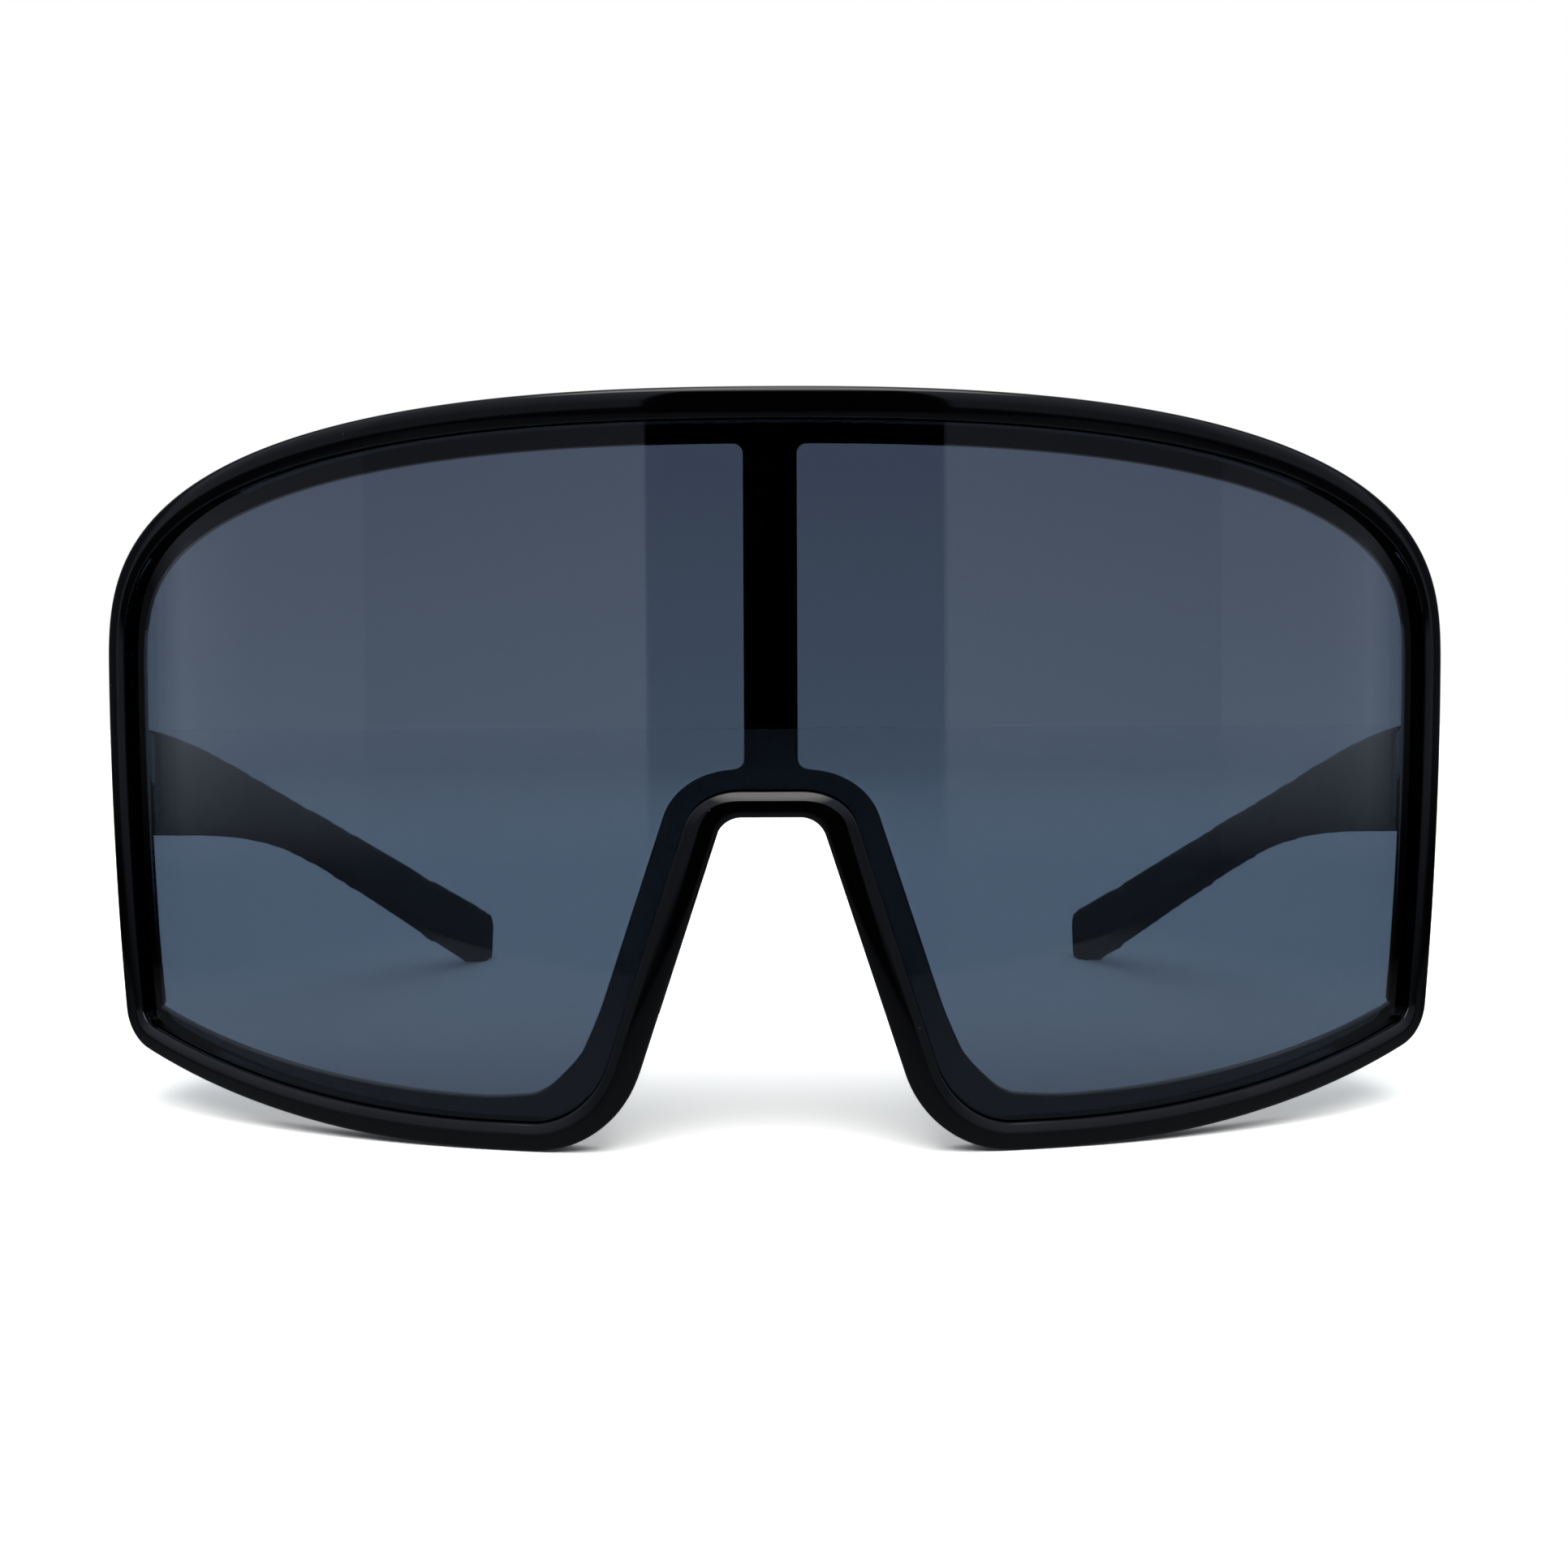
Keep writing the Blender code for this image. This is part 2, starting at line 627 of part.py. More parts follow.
def temple_thickness(station):
    if station < TEMPLE_WAIST_STATION:
        share = ease(station / TEMPLE_WAIST_STATION)
        return mix(TEMPLE_ROOT_THICKNESS, TEMPLE_WAIST_THICKNESS, share)
    share = ease((station - TEMPLE_WAIST_STATION) / (TEMPLE_LENGTH - TEMPLE_WAIST_STATION))
    return mix(TEMPLE_WAIST_THICKNESS, TEMPLE_TIP_THICKNESS, share)


def temple_ring(station, tilt, half, thinned):
    """A section of the left temple in the hinge's own frame, leaning back by the tilt."""
    inner = -KNUCKLE_RADIUS - TEMPLE_WRAP * (station / TEMPLE_LENGTH) ** 2
    outer = inner + temple_thickness(station)
    radius = min(TEMPLE_EDGE_ROUNDING, 2 * half * TEMPLE_EDGE_LIMIT,
                 (outer - inner - 2 * thinned) * TEMPLE_EDGE_LIMIT)
    level = temple_level(station)
    ring = []
    for x, _, across in rounded_rectangle(inner + thinned, outer - thinned, -half, half, radius, 0):
        z = max(level + across * math.cos(tilt), 0.0)
        ring.append((x, station + across * math.sin(tilt), z - HINGE_LEVEL))
    return ring


def temple_rings():
    """Sections from the hinge to the tip, whose corners are turned in the last few."""
    straight_end = TIP_STATION - TIP_ROUNDING * math.cos(TIP_TILT)
    rings = []
    for k in range(TEMPLE_RINGS):
        station = mix(FIT_GAP, straight_end, k / TEMPLE_RINGS)
        rings.append(temple_ring(station, temple_tilt(station), temple_height(station) / 2, 0.0))
    turns = [(math.pi / 2 - TIP_TILT) * k / TIP_RINGS for k in range(TIP_RINGS + 1)]
    for turn in turns + [math.pi / 2]:
        from_end = TIP_ROUNDING * (1 - math.sin(turn))
        rounded = max(TEMPLE_EDGE_ROUNDING - from_end, 0.0)
        thinned = TEMPLE_EDGE_ROUNDING - math.sqrt(TEMPLE_EDGE_ROUNDING ** 2 - rounded ** 2)
        half = TIP_CORE + TIP_ROUNDING * math.cos(turn)
        rings.append(temple_ring(TIP_STATION - from_end * math.cos(TIP_TILT), TIP_TILT, half, thinned))
    return rings


def make_temple(side, name, hinge):
    rings = [on_side(side, ring) for ring in temple_rings()]
    temple = object_from(loft(rings, closed=False), name, hinge, TEMPLE_PLASTIC)
    slot = hinge_slot(side, -KNUCKLE_RADIUS, TEMPLE_LEAF_LENGTH + FIT_GAP)
    combine(temple, slot, "slot", "DIFFERENCE")
    combine(temple, knuckle_pocket(), "pocket", "DIFFERENCE")
    swing_room = box((-2 * side * POCKET_RADIUS, -POCKET_RADIUS, -TEMPLE_ROOT_HEIGHT),
                     (side * FIT_GAP, POCKET_RADIUS + FIT_GAP / 3, TEMPLE_ROOT_HEIGHT))
    combine(temple, swing_room, "swing_room", "DIFFERENCE")


# Hinges

def keyhole(side, direction, length):
    """A leaf and its rolled knuckle from above; direction is 1 to the back, -1 to the front."""
    near_angle = math.pi / 2
    far_angle = math.acos(LEAF_THICKNESS / KNUCKLE_RADIUS)
    sweep = 2 * math.pi - (near_angle - far_angle)
    outline = [(LEAF_THICKNESS, length)]
    for k in range(ROUND_SIDES + 1):
        angle = far_angle - sweep * k / ROUND_SIDES
        outline.append((KNUCKLE_RADIUS * math.cos(angle), KNUCKLE_RADIUS * math.sin(angle)))
    outline.append((0.0, length))
    return [(side * x, direction * y, -LEAF_HEIGHT / 2) for x, y in outline]


def make_leaf(side, direction, name, hinge, length, gaps, anchors):
    """A hinge leaf: the gaps, as spans of height, make room for the other leaf's knuckles."""
    outline = keyhole(side, direction, length)
    leaf = object_from(prism(outline, (0, 0, LEAF_HEIGHT)), name, hinge, LEAF_METAL)
    for number, (low, high) in enumerate(gaps):
        gap = box((-POCKET_RADIUS, -POCKET_RADIUS, low), (POCKET_RADIUS, POCKET_RADIUS, high))
        combine(leaf, gap, f"gap_{number}", "DIFFERENCE")
    bore = rod(SCREW_RADIUS + SCREW_CLEARANCE, (0, 0, -LEAF_HEIGHT), (0, 0, LEAF_HEIGHT))
    combine(leaf, bore, "bore", "DIFFERENCE")
    for number in range(anchors):
        y = mix(POCKET_RADIUS, length, (number + 1) / (anchors + 1)) * direction
        anchor = rod(ANCHOR_RADIUS, (-POCKET_RADIUS, y, 0), (POCKET_RADIUS, y, 0))
        combine(leaf, anchor, f"anchor_{number}", "DIFFERENCE")


def make_hinge_leaves(side, word, hinge):
    middle = KNUCKLE_MIDDLE / 2
    outer = LEAF_HEIGHT / 2 + FIT_GAP
    front_gaps = [(-middle - FIT_GAP, middle + FIT_GAP)]
    temple_gaps = [(-outer, -middle), (middle, outer)]
    make_leaf(side, -1, f"hinge_front_leaf_{word}", hinge, FRONT_LEAF_LENGTH, front_gaps, 1)
    make_leaf(side, 1, f"hinge_temple_leaf_{word}", hinge, TEMPLE_LEAF_LENGTH, temple_gaps, 2)


def make_screw(name, hinge):
    """The hinge screw: a slotted head over the top knuckle and a plain shank."""
    seat = LEAF_HEIGHT / 2 + FIT_GAP
    top = seat + SCREW_HEAD_HEIGHT
    tip = -LEAF_HEIGHT / 2
    profile = [(0, top), (SCREW_HEAD_RADIUS - SCREW_BEVEL, top),
               (SCREW_HEAD_RADIUS, top - SCREW_BEVEL), (SCREW_HEAD_RADIUS, seat),
               (SCREW_RADIUS, seat), (SCREW_RADIUS, tip + SCREW_BEVEL),
               (SCREW_RADIUS - SCREW_BEVEL, tip), (0, tip)]
    bm = bmesh.new()
    points = [bm.verts.new((x, 0, z)) for x, z in profile]
    for above, below in zip(points, points[1:]):
        bm.edges.new((above, below))
    bmesh.ops.spin(bm, geom=bm.verts[:] + bm.edges[:], axis=(0, 0, 1), cent=(0, 0, 0),
                   angle=2 * math.pi, steps=ROUND_SIDES, use_merge=True)
    bmesh.ops.remove_doubles(bm, verts=bm.verts[:], dist=1e-6)
    screw = object_from(bm, name, hinge, SCREW_METAL)
    half = SCREW_SLOT_WIDTH / 2
    groove = box((-2 * SCREW_HEAD_RADIUS, -half, top - SCREW_SLOT_DEPTH),
                 (2 * SCREW_HEAD_RADIUS, half, top + SCREW_SLOT_DEPTH))
    combine(screw, groove, "groove", "DIFFERENCE")


# Assembly

def build():
    root = new_empty("sunglasses_origin", (0, -(HINGE_Y + TEMPLE_LENGTH) / 2, 0))
    make_front_frame(root)
    make_lens(root)
    for side, word in ((1, "left"), (-1, "right")):
        hinge = new_empty(f"hinge_axis_{word}", (side * HINGE_X, HINGE_Y, HINGE_LEVEL), root)
        make_nose_pad(side, f"nose_pad_{word}", root)
        make_temple(side, f"temple_{word}", hinge)
        make_hinge_leaves(side, word, hinge)
        make_screw(f"hinge_screw_{word}", hinge)


build()
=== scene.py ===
# %% [markdown]
# # Shield sunglasses
# A moulded wrap front holds one large curved lens, and two temples fold on small screw hinges.
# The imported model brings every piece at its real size. This lesson gives each one its fine
# shape and its finish, and puts the glasses in a small studio. The front faces -Y, the temples
# run back along +Y, and left and right are the wearer's. Sizes are in metres, angles in radians.

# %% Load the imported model
import math
from dataclasses import dataclass

import bmesh
import bpy
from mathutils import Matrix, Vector


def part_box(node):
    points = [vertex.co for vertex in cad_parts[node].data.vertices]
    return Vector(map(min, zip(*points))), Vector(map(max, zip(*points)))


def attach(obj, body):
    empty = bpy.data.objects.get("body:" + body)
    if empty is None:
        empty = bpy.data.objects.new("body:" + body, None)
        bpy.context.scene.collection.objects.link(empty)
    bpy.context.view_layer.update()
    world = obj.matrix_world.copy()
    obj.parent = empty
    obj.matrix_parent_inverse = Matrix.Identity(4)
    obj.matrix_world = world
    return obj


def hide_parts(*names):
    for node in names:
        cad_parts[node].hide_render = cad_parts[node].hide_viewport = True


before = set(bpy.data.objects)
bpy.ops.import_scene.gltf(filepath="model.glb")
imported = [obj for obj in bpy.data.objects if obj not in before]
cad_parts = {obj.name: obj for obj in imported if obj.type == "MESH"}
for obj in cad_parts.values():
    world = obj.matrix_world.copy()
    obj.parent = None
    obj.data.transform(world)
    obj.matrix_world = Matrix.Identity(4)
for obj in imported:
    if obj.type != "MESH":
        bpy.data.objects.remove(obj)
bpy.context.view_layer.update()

# %% [markdown]
# ## The photograph's camera
# The photograph is square. Its horizon lies above the middle, so the camera looks slightly down
# from just over half the height of the glasses, about 20 cm away. It is turned and tilted by
# less than half a degree, as a camera set by hand is. A lens of about 50 mm on a 36 mm sensor
# gives the same perspective: the far tips look much closer together than the hinges.

# %% Place the camera
PHOTO_SIDE = 1932
FOCAL_PIXELS = 2654
HORIZON_ROW = 861
SENSOR_WIDTH = 36.0
CAMERA_BACK = 0.2060
CAMERA_ASIDE = 0.0025
CAMERA_HEIGHT = 0.0442
CAMERA_PAN = 0.0058
CAMERA_ROLL = 0.0040
BEAD_PROUD = 0.0012

crest_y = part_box("shield_lens")[0].y - BEAD_PROUD
camera_data = bpy.data.cameras.new("photo_camera")
camera_data.sensor_width = SENSOR_WIDTH
camera_data.lens = SENSOR_WIDTH * FOCAL_PIXELS / PHOTO_SIDE
camera = bpy.data.objects.new("photo_camera", camera_data)
bpy.context.scene.collection.objects.link(camera)
pitch = math.atan((PHOTO_SIDE / 2 - HORIZON_ROW) / FOCAL_PIXELS)
camera.location = (CAMERA_ASIDE, crest_y - CAMERA_BACK, CAMERA_HEIGHT)
camera.rotation_euler = (math.pi / 2 - pitch, CAMERA_ROLL, CAMERA_PAN)
bpy.context.scene.camera = camera
print("front crest at y", round(crest_y * 1000, 2), "mm, lens", round(camera_data.lens, 2), "mm")

# %% [markdown]
# ## Three small helpers
# One turns the hex colours of this lesson into the linear values that Blender shades with. The
# others set a node's inputs and add a node, so that each material reads as a short list.

# %% Helpers for colours and nodes
def linear(hex_colour):
    """An sRGB colour such as "#1a1a1e" as linear red, green, blue and alpha."""
    channels = [int(hex_colour[k:k + 2], 16) / 255 for k in (1, 3, 5)]
    return [c / 12.92 if c <= 0.04045 else ((c + 0.055) / 1.055) ** 2.4 for c in channels] + [1.0]


def set_inputs(node, inputs):
    """Give each input a plain value, or link it to a socket or to a node's first output."""
    for name, value in inputs.items():
        if isinstance(value, bpy.types.Node):
            value = value.outputs[0]
        if isinstance(value, bpy.types.NodeSocket):
            node.id_data.links.new(value, node.inputs[name])
        else:
            node.inputs[name].default_value = value


def add_node(tree, kind, inputs, **settings):
    """A new node with its properties set first and its inputs after them."""
    node = tree.nodes.new(kind)
    for name, value in settings.items():
        setattr(node, name, value)
    set_inputs(node, inputs)
    return node


# %% [markdown]
# ## The studio
# Gloss black shows only what it reflects, so the room matters as much as the material. The
# glasses stand on a white sheet in front of a white backdrop, under a soft lamp that leans to
# the front. The room in front has a dim cool wall above a dark table. The wall grows lighter
# upwards, which gives the bead its soft upper edge, and steps up in panels to both sides, which
# the lens repeats. A tall black card stands in the middle of it, around the camera: it gives the
# black band down the middle of the bead and the darker band in the lens. The table keeps the
# lower half of the lens clear of reflections, which is why the temples look so black through it.
# A room could be built of planes and lamps, but a world shader that looks only at the direction
# of a ray draws it all without a single object.

# %% Take a ray's direction apart
world = bpy.data.worlds.new("grey_room_white_backdrop")
bpy.context.scene.world = world
world.use_nodes = True
tree = world.node_tree
tree.nodes.clear()
direction = add_node(tree, "ShaderNodeTexCoord", {}).outputs["Generated"]
split = add_node(tree, "ShaderNodeSeparateXYZ", {"Vector": direction})
forward = add_node(tree, "ShaderNodeMath", {0: split.outputs["Y"], 1: -1.0}, operation="MULTIPLY")
bearing = add_node(tree, "ShaderNodeMath",
                   {0: split.outputs["X"], 1: forward}, operation="ARCTAN2")
turned = add_node(tree, "ShaderNodeMath", {0: bearing}, operation="ABSOLUTE")
print("world", world.name)

# %% Stand up the black card, which narrows towards its top
CARD_MIDDLE = math.radians(2.8)
CARD_HALF_WIDTH = math.radians(19.9)
CARD_TOP = 0.70
CARD_NARROWING = 3.0
EDGE_SOFTNESS = math.radians(0.7)

off_card = add_node(tree, "ShaderNodeMath", {0: bearing, 1: CARD_MIDDLE}, operation="SUBTRACT")
aside = add_node(tree, "ShaderNodeMath", {0: off_card}, operation="ABSOLUTE")
rise = add_node(tree, "ShaderNodeMapRange", {"Value": split.outputs["Z"], "From Max": CARD_TOP})
rise_power = add_node(tree, "ShaderNodeMath", {0: rise, 1: CARD_NARROWING}, operation="POWER")
narrowed = add_node(tree, "ShaderNodeMath", {0: 1.0, 1: rise_power}, operation="SUBTRACT")
card_edge = add_node(tree, "ShaderNodeMath",
                     {0: narrowed, 1: CARD_HALF_WIDTH}, operation="MULTIPLY")
past_edge = add_node(tree, "ShaderNodeMath", {0: aside, 1: card_edge}, operation="SUBTRACT")
beside_card = add_node(tree, "ShaderNodeMapRange",
                       {"Value": past_edge, "From Min": 0.0, "From Max": EDGE_SOFTNESS})
print("black card", round(math.degrees(2 * CARD_HALF_WIDTH), 1), "degrees wide")

# %% Light the wall: a dark side, two panels and a brighter corner
ROOM_LIGHT = 0.19
SIDE_DARK = 0.035
SIDE_START, SIDE_END = math.radians(91), math.radians(98)
PANEL_EDGE = math.radians(60.3)
PANEL_DIM, PANEL_STEP = 0.86, 0.22
CORNER_START, CORNER_GLOW = math.radians(80), 0.25

front_wall = add_node(tree, "ShaderNodeMapRange",
                      {"Value": turned, "From Min": SIDE_START, "From Max": SIDE_END,
                       "To Min": ROOM_LIGHT, "To Max": SIDE_DARK})
panels = add_node(tree, "ShaderNodeMapRange",
                  {"Value": aside, "From Min": CARD_HALF_WIDTH, "From Max": PANEL_EDGE,
                   "To Min": 1.0, "To Max": PANEL_DIM})
for start, end, step in ((PANEL_EDGE, PANEL_EDGE + EDGE_SOFTNESS, PANEL_STEP),
                         (CORNER_START, SIDE_START, CORNER_GLOW)):
    brighter = add_node(tree, "ShaderNodeMapRange",
                        {"Value": aside, "From Min": start, "From Max": end, "To Max": step})
    panels = add_node(tree, "ShaderNodeMath", {0: panels, 1: brighter}, operation="ADD")
print("wall", ROOM_LIGHT, "in front,", SIDE_DARK, "at the sides")

# %% Set the table below the wall and light the wall's upper part
TABLE_NEAR, TABLE_FAR = -0.076, -0.012
TABLE_DARK = 0.08
UPPER_START, UPPER_END, UPPER_GLOW = 0.14, 0.45, 2.8

table = add_node(tree, "ShaderNodeMapRange",
                 {"Value": split.outputs["Z"], "From Min": TABLE_NEAR, "From Max": TABLE_FAR,
                  "To Min": TABLE_DARK, "To Max": 1.0})
upper = add_node(tree, "ShaderNodeMapRange",
                 {"Value": split.outputs["Z"], "From Min": UPPER_START, "From Max": UPPER_END,
                  "To Min": 1.0, "To Max": UPPER_GLOW})
room = front_wall
for share in (panels, table, upper, beside_card):
    room = add_node(tree, "ShaderNodeMath", {0: room, 1: share}, operation="MULTIPLY")
print("table", round(ROOM_LIGHT * TABLE_DARK, 3), "upper wall", round(ROOM_LIGHT * UPPER_GLOW, 3))

# %% Hang the white backdrop and the lamp
BACKDROP_START, BACKDROP_END = math.radians(135), math.radians(150)
LAMP_LEAN = math.radians(34)
LAMP_STRENGTH = 3.5
LAMP_EDGE, LAMP_FULL = 0.84, 0.93

backdrop = add_node(tree, "ShaderNodeMapRange",
                    {"Value": turned, "From Min": BACKDROP_START, "From Max": BACKDROP_END})
overhead = add_node(tree, "ShaderNodeVectorMath",
                    {0: direction, 1: (0.0, -math.sin(LAMP_LEAN), math.cos(LAMP_LEAN))},
                    operation="DOT_PRODUCT")
lamp = add_node(tree, "ShaderNodeMapRange",
                {"Value": overhead.outputs["Value"], "From Min": LAMP_EDGE, "From Max": LAMP_FULL,
                 "To Max": LAMP_STRENGTH})
whites = add_node(tree, "ShaderNodeMath", {0: backdrop, 1: lamp}, operation="MAXIMUM")
studio = add_node(tree, "ShaderNodeMath", {0: room, 1: whites}, operation="MAXIMUM")
print("lamp", round(2 * math.degrees(math.acos(LAMP_EDGE))), "degrees wide at", LAMP_STRENGTH)

# %% Show plain white to the camera, and behind the glasses through the lens
ROOM_HUE = "#e2edff"

path = add_node(tree, "ShaderNodeLightPath", {})
backward = add_node(tree, "ShaderNodeMath",
                    {0: split.outputs["Y"], 1: 0.0}, operation="GREATER_THAN")
through_lens = add_node(tree, "ShaderNodeMath", {0: path.outputs["Is Transmission Ray"],
                                                 1: backward}, operation="MULTIPLY")
seen = add_node(tree, "ShaderNodeMath",
                {0: path.outputs["Is Camera Ray"], 1: through_lens}, operation="MAXIMUM")
hue = add_node(tree, "ShaderNodeMix",
               {"Factor": whites, 6: linear(ROOM_HUE), 7: linear("#ffffff")}, data_type="RGBA")
light = add_node(tree, "ShaderNodeBackground", {"Color": hue.outputs[2], "Strength": studio})
white = add_node(tree, "ShaderNodeBackground", {"Color": linear("#ffffff"), "Strength": 1.0})
mixed = add_node(tree, "ShaderNodeMixShader", {0: seen, 1: light, 2: white})
add_node(tree, "ShaderNodeOutputWorld", {"Surface": mixed})
bpy.context.scene.view_settings.view_transform = "Standard"
print("world of", len(tree.nodes), "nodes")

# %% [markdown]
# ## The sheet
# A large plain floor carries the shadow. The photograph overexposes it, so to the camera it is
# nearly twice as bright as it is lit, and only the deepest shadow, close to the rim, is left.
# Seen through the lens it keeps its level, with a painted pool of light, a glow that fades
# towards the backdrop, so the two meet softly. In reflections only the sheet of paper counts,
# as a glow with painted light and shade: a painted pool of light right under the front that
# dims to all sides, and a painted shadow behind the front. It ends 13 cm before the front and
# 20 cm to the left and right: past those edges the gloss shows the table and the room. None of
# this lights the glasses any more than a plain white floor does.

# %% Helper to turn a bmesh into an object
def plain_object(bm, name):
    """The bmesh as an object at the origin with its faces turned outward."""
    bmesh.ops.recalc_face_normals(bm, faces=bm.faces[:])
    mesh = bpy.data.meshes.new(name)
    bm.to_mesh(mesh)
    bm.free()
    item = bpy.data.objects.new(name, mesh)
    bpy.context.scene.collection.objects.link(item)
    return item


# %% Lay the floor
FLOOR_HALF = 3.0

floor_bm = bmesh.new()
bmesh.ops.create_grid(floor_bm, x_segments=1, y_segments=1, size=FLOOR_HALF)
floor = plain_object(floor_bm, "floor")
paper = bpy.data.materials.new("white_paper_sheet")
floor.data.materials.append(paper)
paper.use_nodes = True
tree = paper.node_tree
tree.nodes.clear()
place = add_node(tree, "ShaderNodeTexCoord", {})
split = add_node(tree, "ShaderNodeSeparateXYZ", {"Vector": place.outputs["Object"]})
path = add_node(tree, "ShaderNodeLightPath", {})
print("floor", 2 * FLOOR_HALF, "m square")

# %% Light the floor as the camera and the lens show it
PAPER_WHITE = "#f6f6f6"
OVEREXPOSED = "#e4e3dc"
GLOW_NEAR, GLOW_FAR = 0.43, 0.01
POOL_NEAR, POOL_FAR = 0.32, 1.09

diffuse = add_node(tree, "ShaderNodeBsdfDiffuse", {"Color": linear(PAPER_WHITE)})
# A painted pool of light: the floor seen through the lens glows more near the glasses and less
# towards the backdrop.
pool = add_node(tree, "ShaderNodeMapRange",
                {"Value": split.outputs["Y"], "From Min": POOL_NEAR, "From Max": POOL_FAR,
                 "To Min": GLOW_NEAR, "To Max": GLOW_FAR})
glow = add_node(tree, "ShaderNodeEmission", {"Strength": pool})
bright = add_node(tree, "ShaderNodeAddShader", {0: diffuse, 1: glow})
lit = add_node(tree, "ShaderNodeMixShader",
               {0: path.outputs["Is Transmission Ray"], 1: diffuse, 2: bright})
more = add_node(tree, "ShaderNodeBsdfDiffuse", {"Color": linear(OVEREXPOSED)})
overexposed = add_node(tree, "ShaderNodeAddShader", {0: diffuse, 1: more})
in_view = add_node(tree, "ShaderNodeMixShader",
                   {0: path.outputs["Is Camera Ray"], 1: lit, 2: overexposed})
print("overexposed", round(1 + linear(OVEREXPOSED)[1] / linear(PAPER_WHITE)[1], 2), "times")

# %% Paint light and shade on the sheet as the gloss shows it
SHEET_FRONT_REACH = 0.126
# Levels of the painted pool of light under the front and of the painted shadow behind it.
SHEET_FAR_EDGE, SHEET_NEAR, SHEET_PAINTED_SHADOW = 0.06, 0.15, 0.03
PAINTED_SHADOW_START, PAINTED_SHADOW_END = 0.015, 0.050
SHEET_SIDE_FADE, SHEET_SIDE_REACH, SHEET_SIDE_EDGE = 0.09, 0.20, 0.016

# The sheet's glow carries painted light and shade: a painted pool of light under the front that
# fades to the front edge and the sides, and a painted shadow behind the front.
sideways = add_node(tree, "ShaderNodeMath", {0: split.outputs["X"]}, operation="ABSOLUTE")
painted_sheet_light = SHEET_NEAR
for along, start, end, level in (
        (split.outputs["Y"], crest_y, crest_y - SHEET_FRONT_REACH, SHEET_FAR_EDGE),
        (split.outputs["Y"], crest_y + PAINTED_SHADOW_START, crest_y + PAINTED_SHADOW_END, SHEET_PAINTED_SHADOW),
        (sideways, SHEET_SIDE_FADE, SHEET_SIDE_REACH, SHEET_SIDE_EDGE)):
    painted_fade = add_node(tree, "ShaderNodeMapRange",
                     {"Value": along, "From Min": start, "From Max": end,
                      "To Min": SHEET_NEAR, "To Max": level})
    painted_sheet_light = add_node(tree, "ShaderNodeMath", {0: painted_sheet_light, 1: painted_fade}, operation="MINIMUM")
print("sheet", SHEET_NEAR, "bright under the front")

# %% Cut the sheet and put the floor together
SHEET_HUE = "#e3ebf7"

in_front = add_node(tree, "ShaderNodeMath",
                    {0: split.outputs["Y"], 1: crest_y - SHEET_FRONT_REACH},
                    operation="GREATER_THAN")
between = add_node(tree, "ShaderNodeMath",
                   {0: sideways, 1: SHEET_SIDE_REACH}, operation="LESS_THAN")
on_sheet = add_node(tree, "ShaderNodeMath", {0: in_front, 1: between}, operation="MULTIPLY")
# The sheet's glow, with its painted pool of light and painted shadow, as the gloss sees it.
sheet_glow = add_node(tree, "ShaderNodeEmission",
                      {"Color": linear(SHEET_HUE), "Strength": painted_sheet_light})
nothing = add_node(tree, "ShaderNodeBsdfTransparent", {})
reflected = add_node(tree, "ShaderNodeMixShader", {0: on_sheet, 1: nothing, 2: sheet_glow})
mirrored = add_node(tree, "ShaderNodeMath",
                    {0: path.outputs["Is Glossy Ray"], 1: path.outputs["Is Transmission Ray"]},
                    operation="SUBTRACT", use_clamp=True)
surface = add_node(tree, "ShaderNodeMixShader", {0: mirrored, 1: in_view, 2: reflected})
add_node(tree, "ShaderNodeOutputMaterial", {"Surface": surface})
print("paper of", len(tree.nodes), "nodes")

# %% [markdown]
# ## The outline of the front
# Seen square on, the front is a long arched brow, two nearly straight sides, two low lobes and
# the nose arch between them. The brow is one superellipse; the rest is a chain of even bends
# between a few stations, each a point with a heading. A curve object could be drawn through
# them, but every station here also knows how wide the raised bead and the ledge behind the lens
# are there, so the rim and the lens follow one outline. Round the two lobes the ledge flares a
# little, which rounds the lens opening there.

# %% Helpers for stations and even bends
def mix(start, end, share):
    return start + (end - start) * share


def ease(share):
    return share * share * (3 - 2 * share)


@dataclass
class Station:
    """A point of the outline, its heading, and the widths of bead and ledge there."""

    x: float
    z: float
    heading: float
    bead: float
    ledge: float

    def inward(self, offset):
        return self.x + math.sin(self.heading) * offset, self.z - math.cos(self.heading) * offset


def bend(start, end, share):
    """A station on the even curve that leaves one station and arrives at the next."""
    first = Vector((start.x, start.z))
    last = Vector((end.x, end.z))
    turn = end.heading - start.heading
    handle = (last - first).length / (3 * math.cos(turn / 4) ** 2)
    leave = first + handle * Vector((math.cos(start.heading), math.sin(start.heading)))
    arrive = last - handle * Vector((math.cos(end.heading), math.sin(end.heading)))
    rest = 1 - share
    point = (rest ** 3 * first + 3 * rest ** 2 * share * leave
             + 3 * rest * share ** 2 * arrive + share ** 3 * last)
    return Station(point.x, point.y, mix(start.heading, end.heading, share),
                   mix(start.bead, end.bead, ease(share)),
                   mix(start.ledge, end.ledge, ease(share)))


# %% Shape the brow
FRONT_WIDTH = 0.1461
FRONT_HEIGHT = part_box("front_frame")[1].z
WIDEST_LEVEL = 0.0473
BROW_EXPONENT = 2.84
BEAD_BROW, LEDGE_BROW = 0.0030, 0.0021
BEAD_SIDE, LEDGE_SIDE = 0.0025, 0.0024
HALF_WIDTH = FRONT_WIDTH / 2


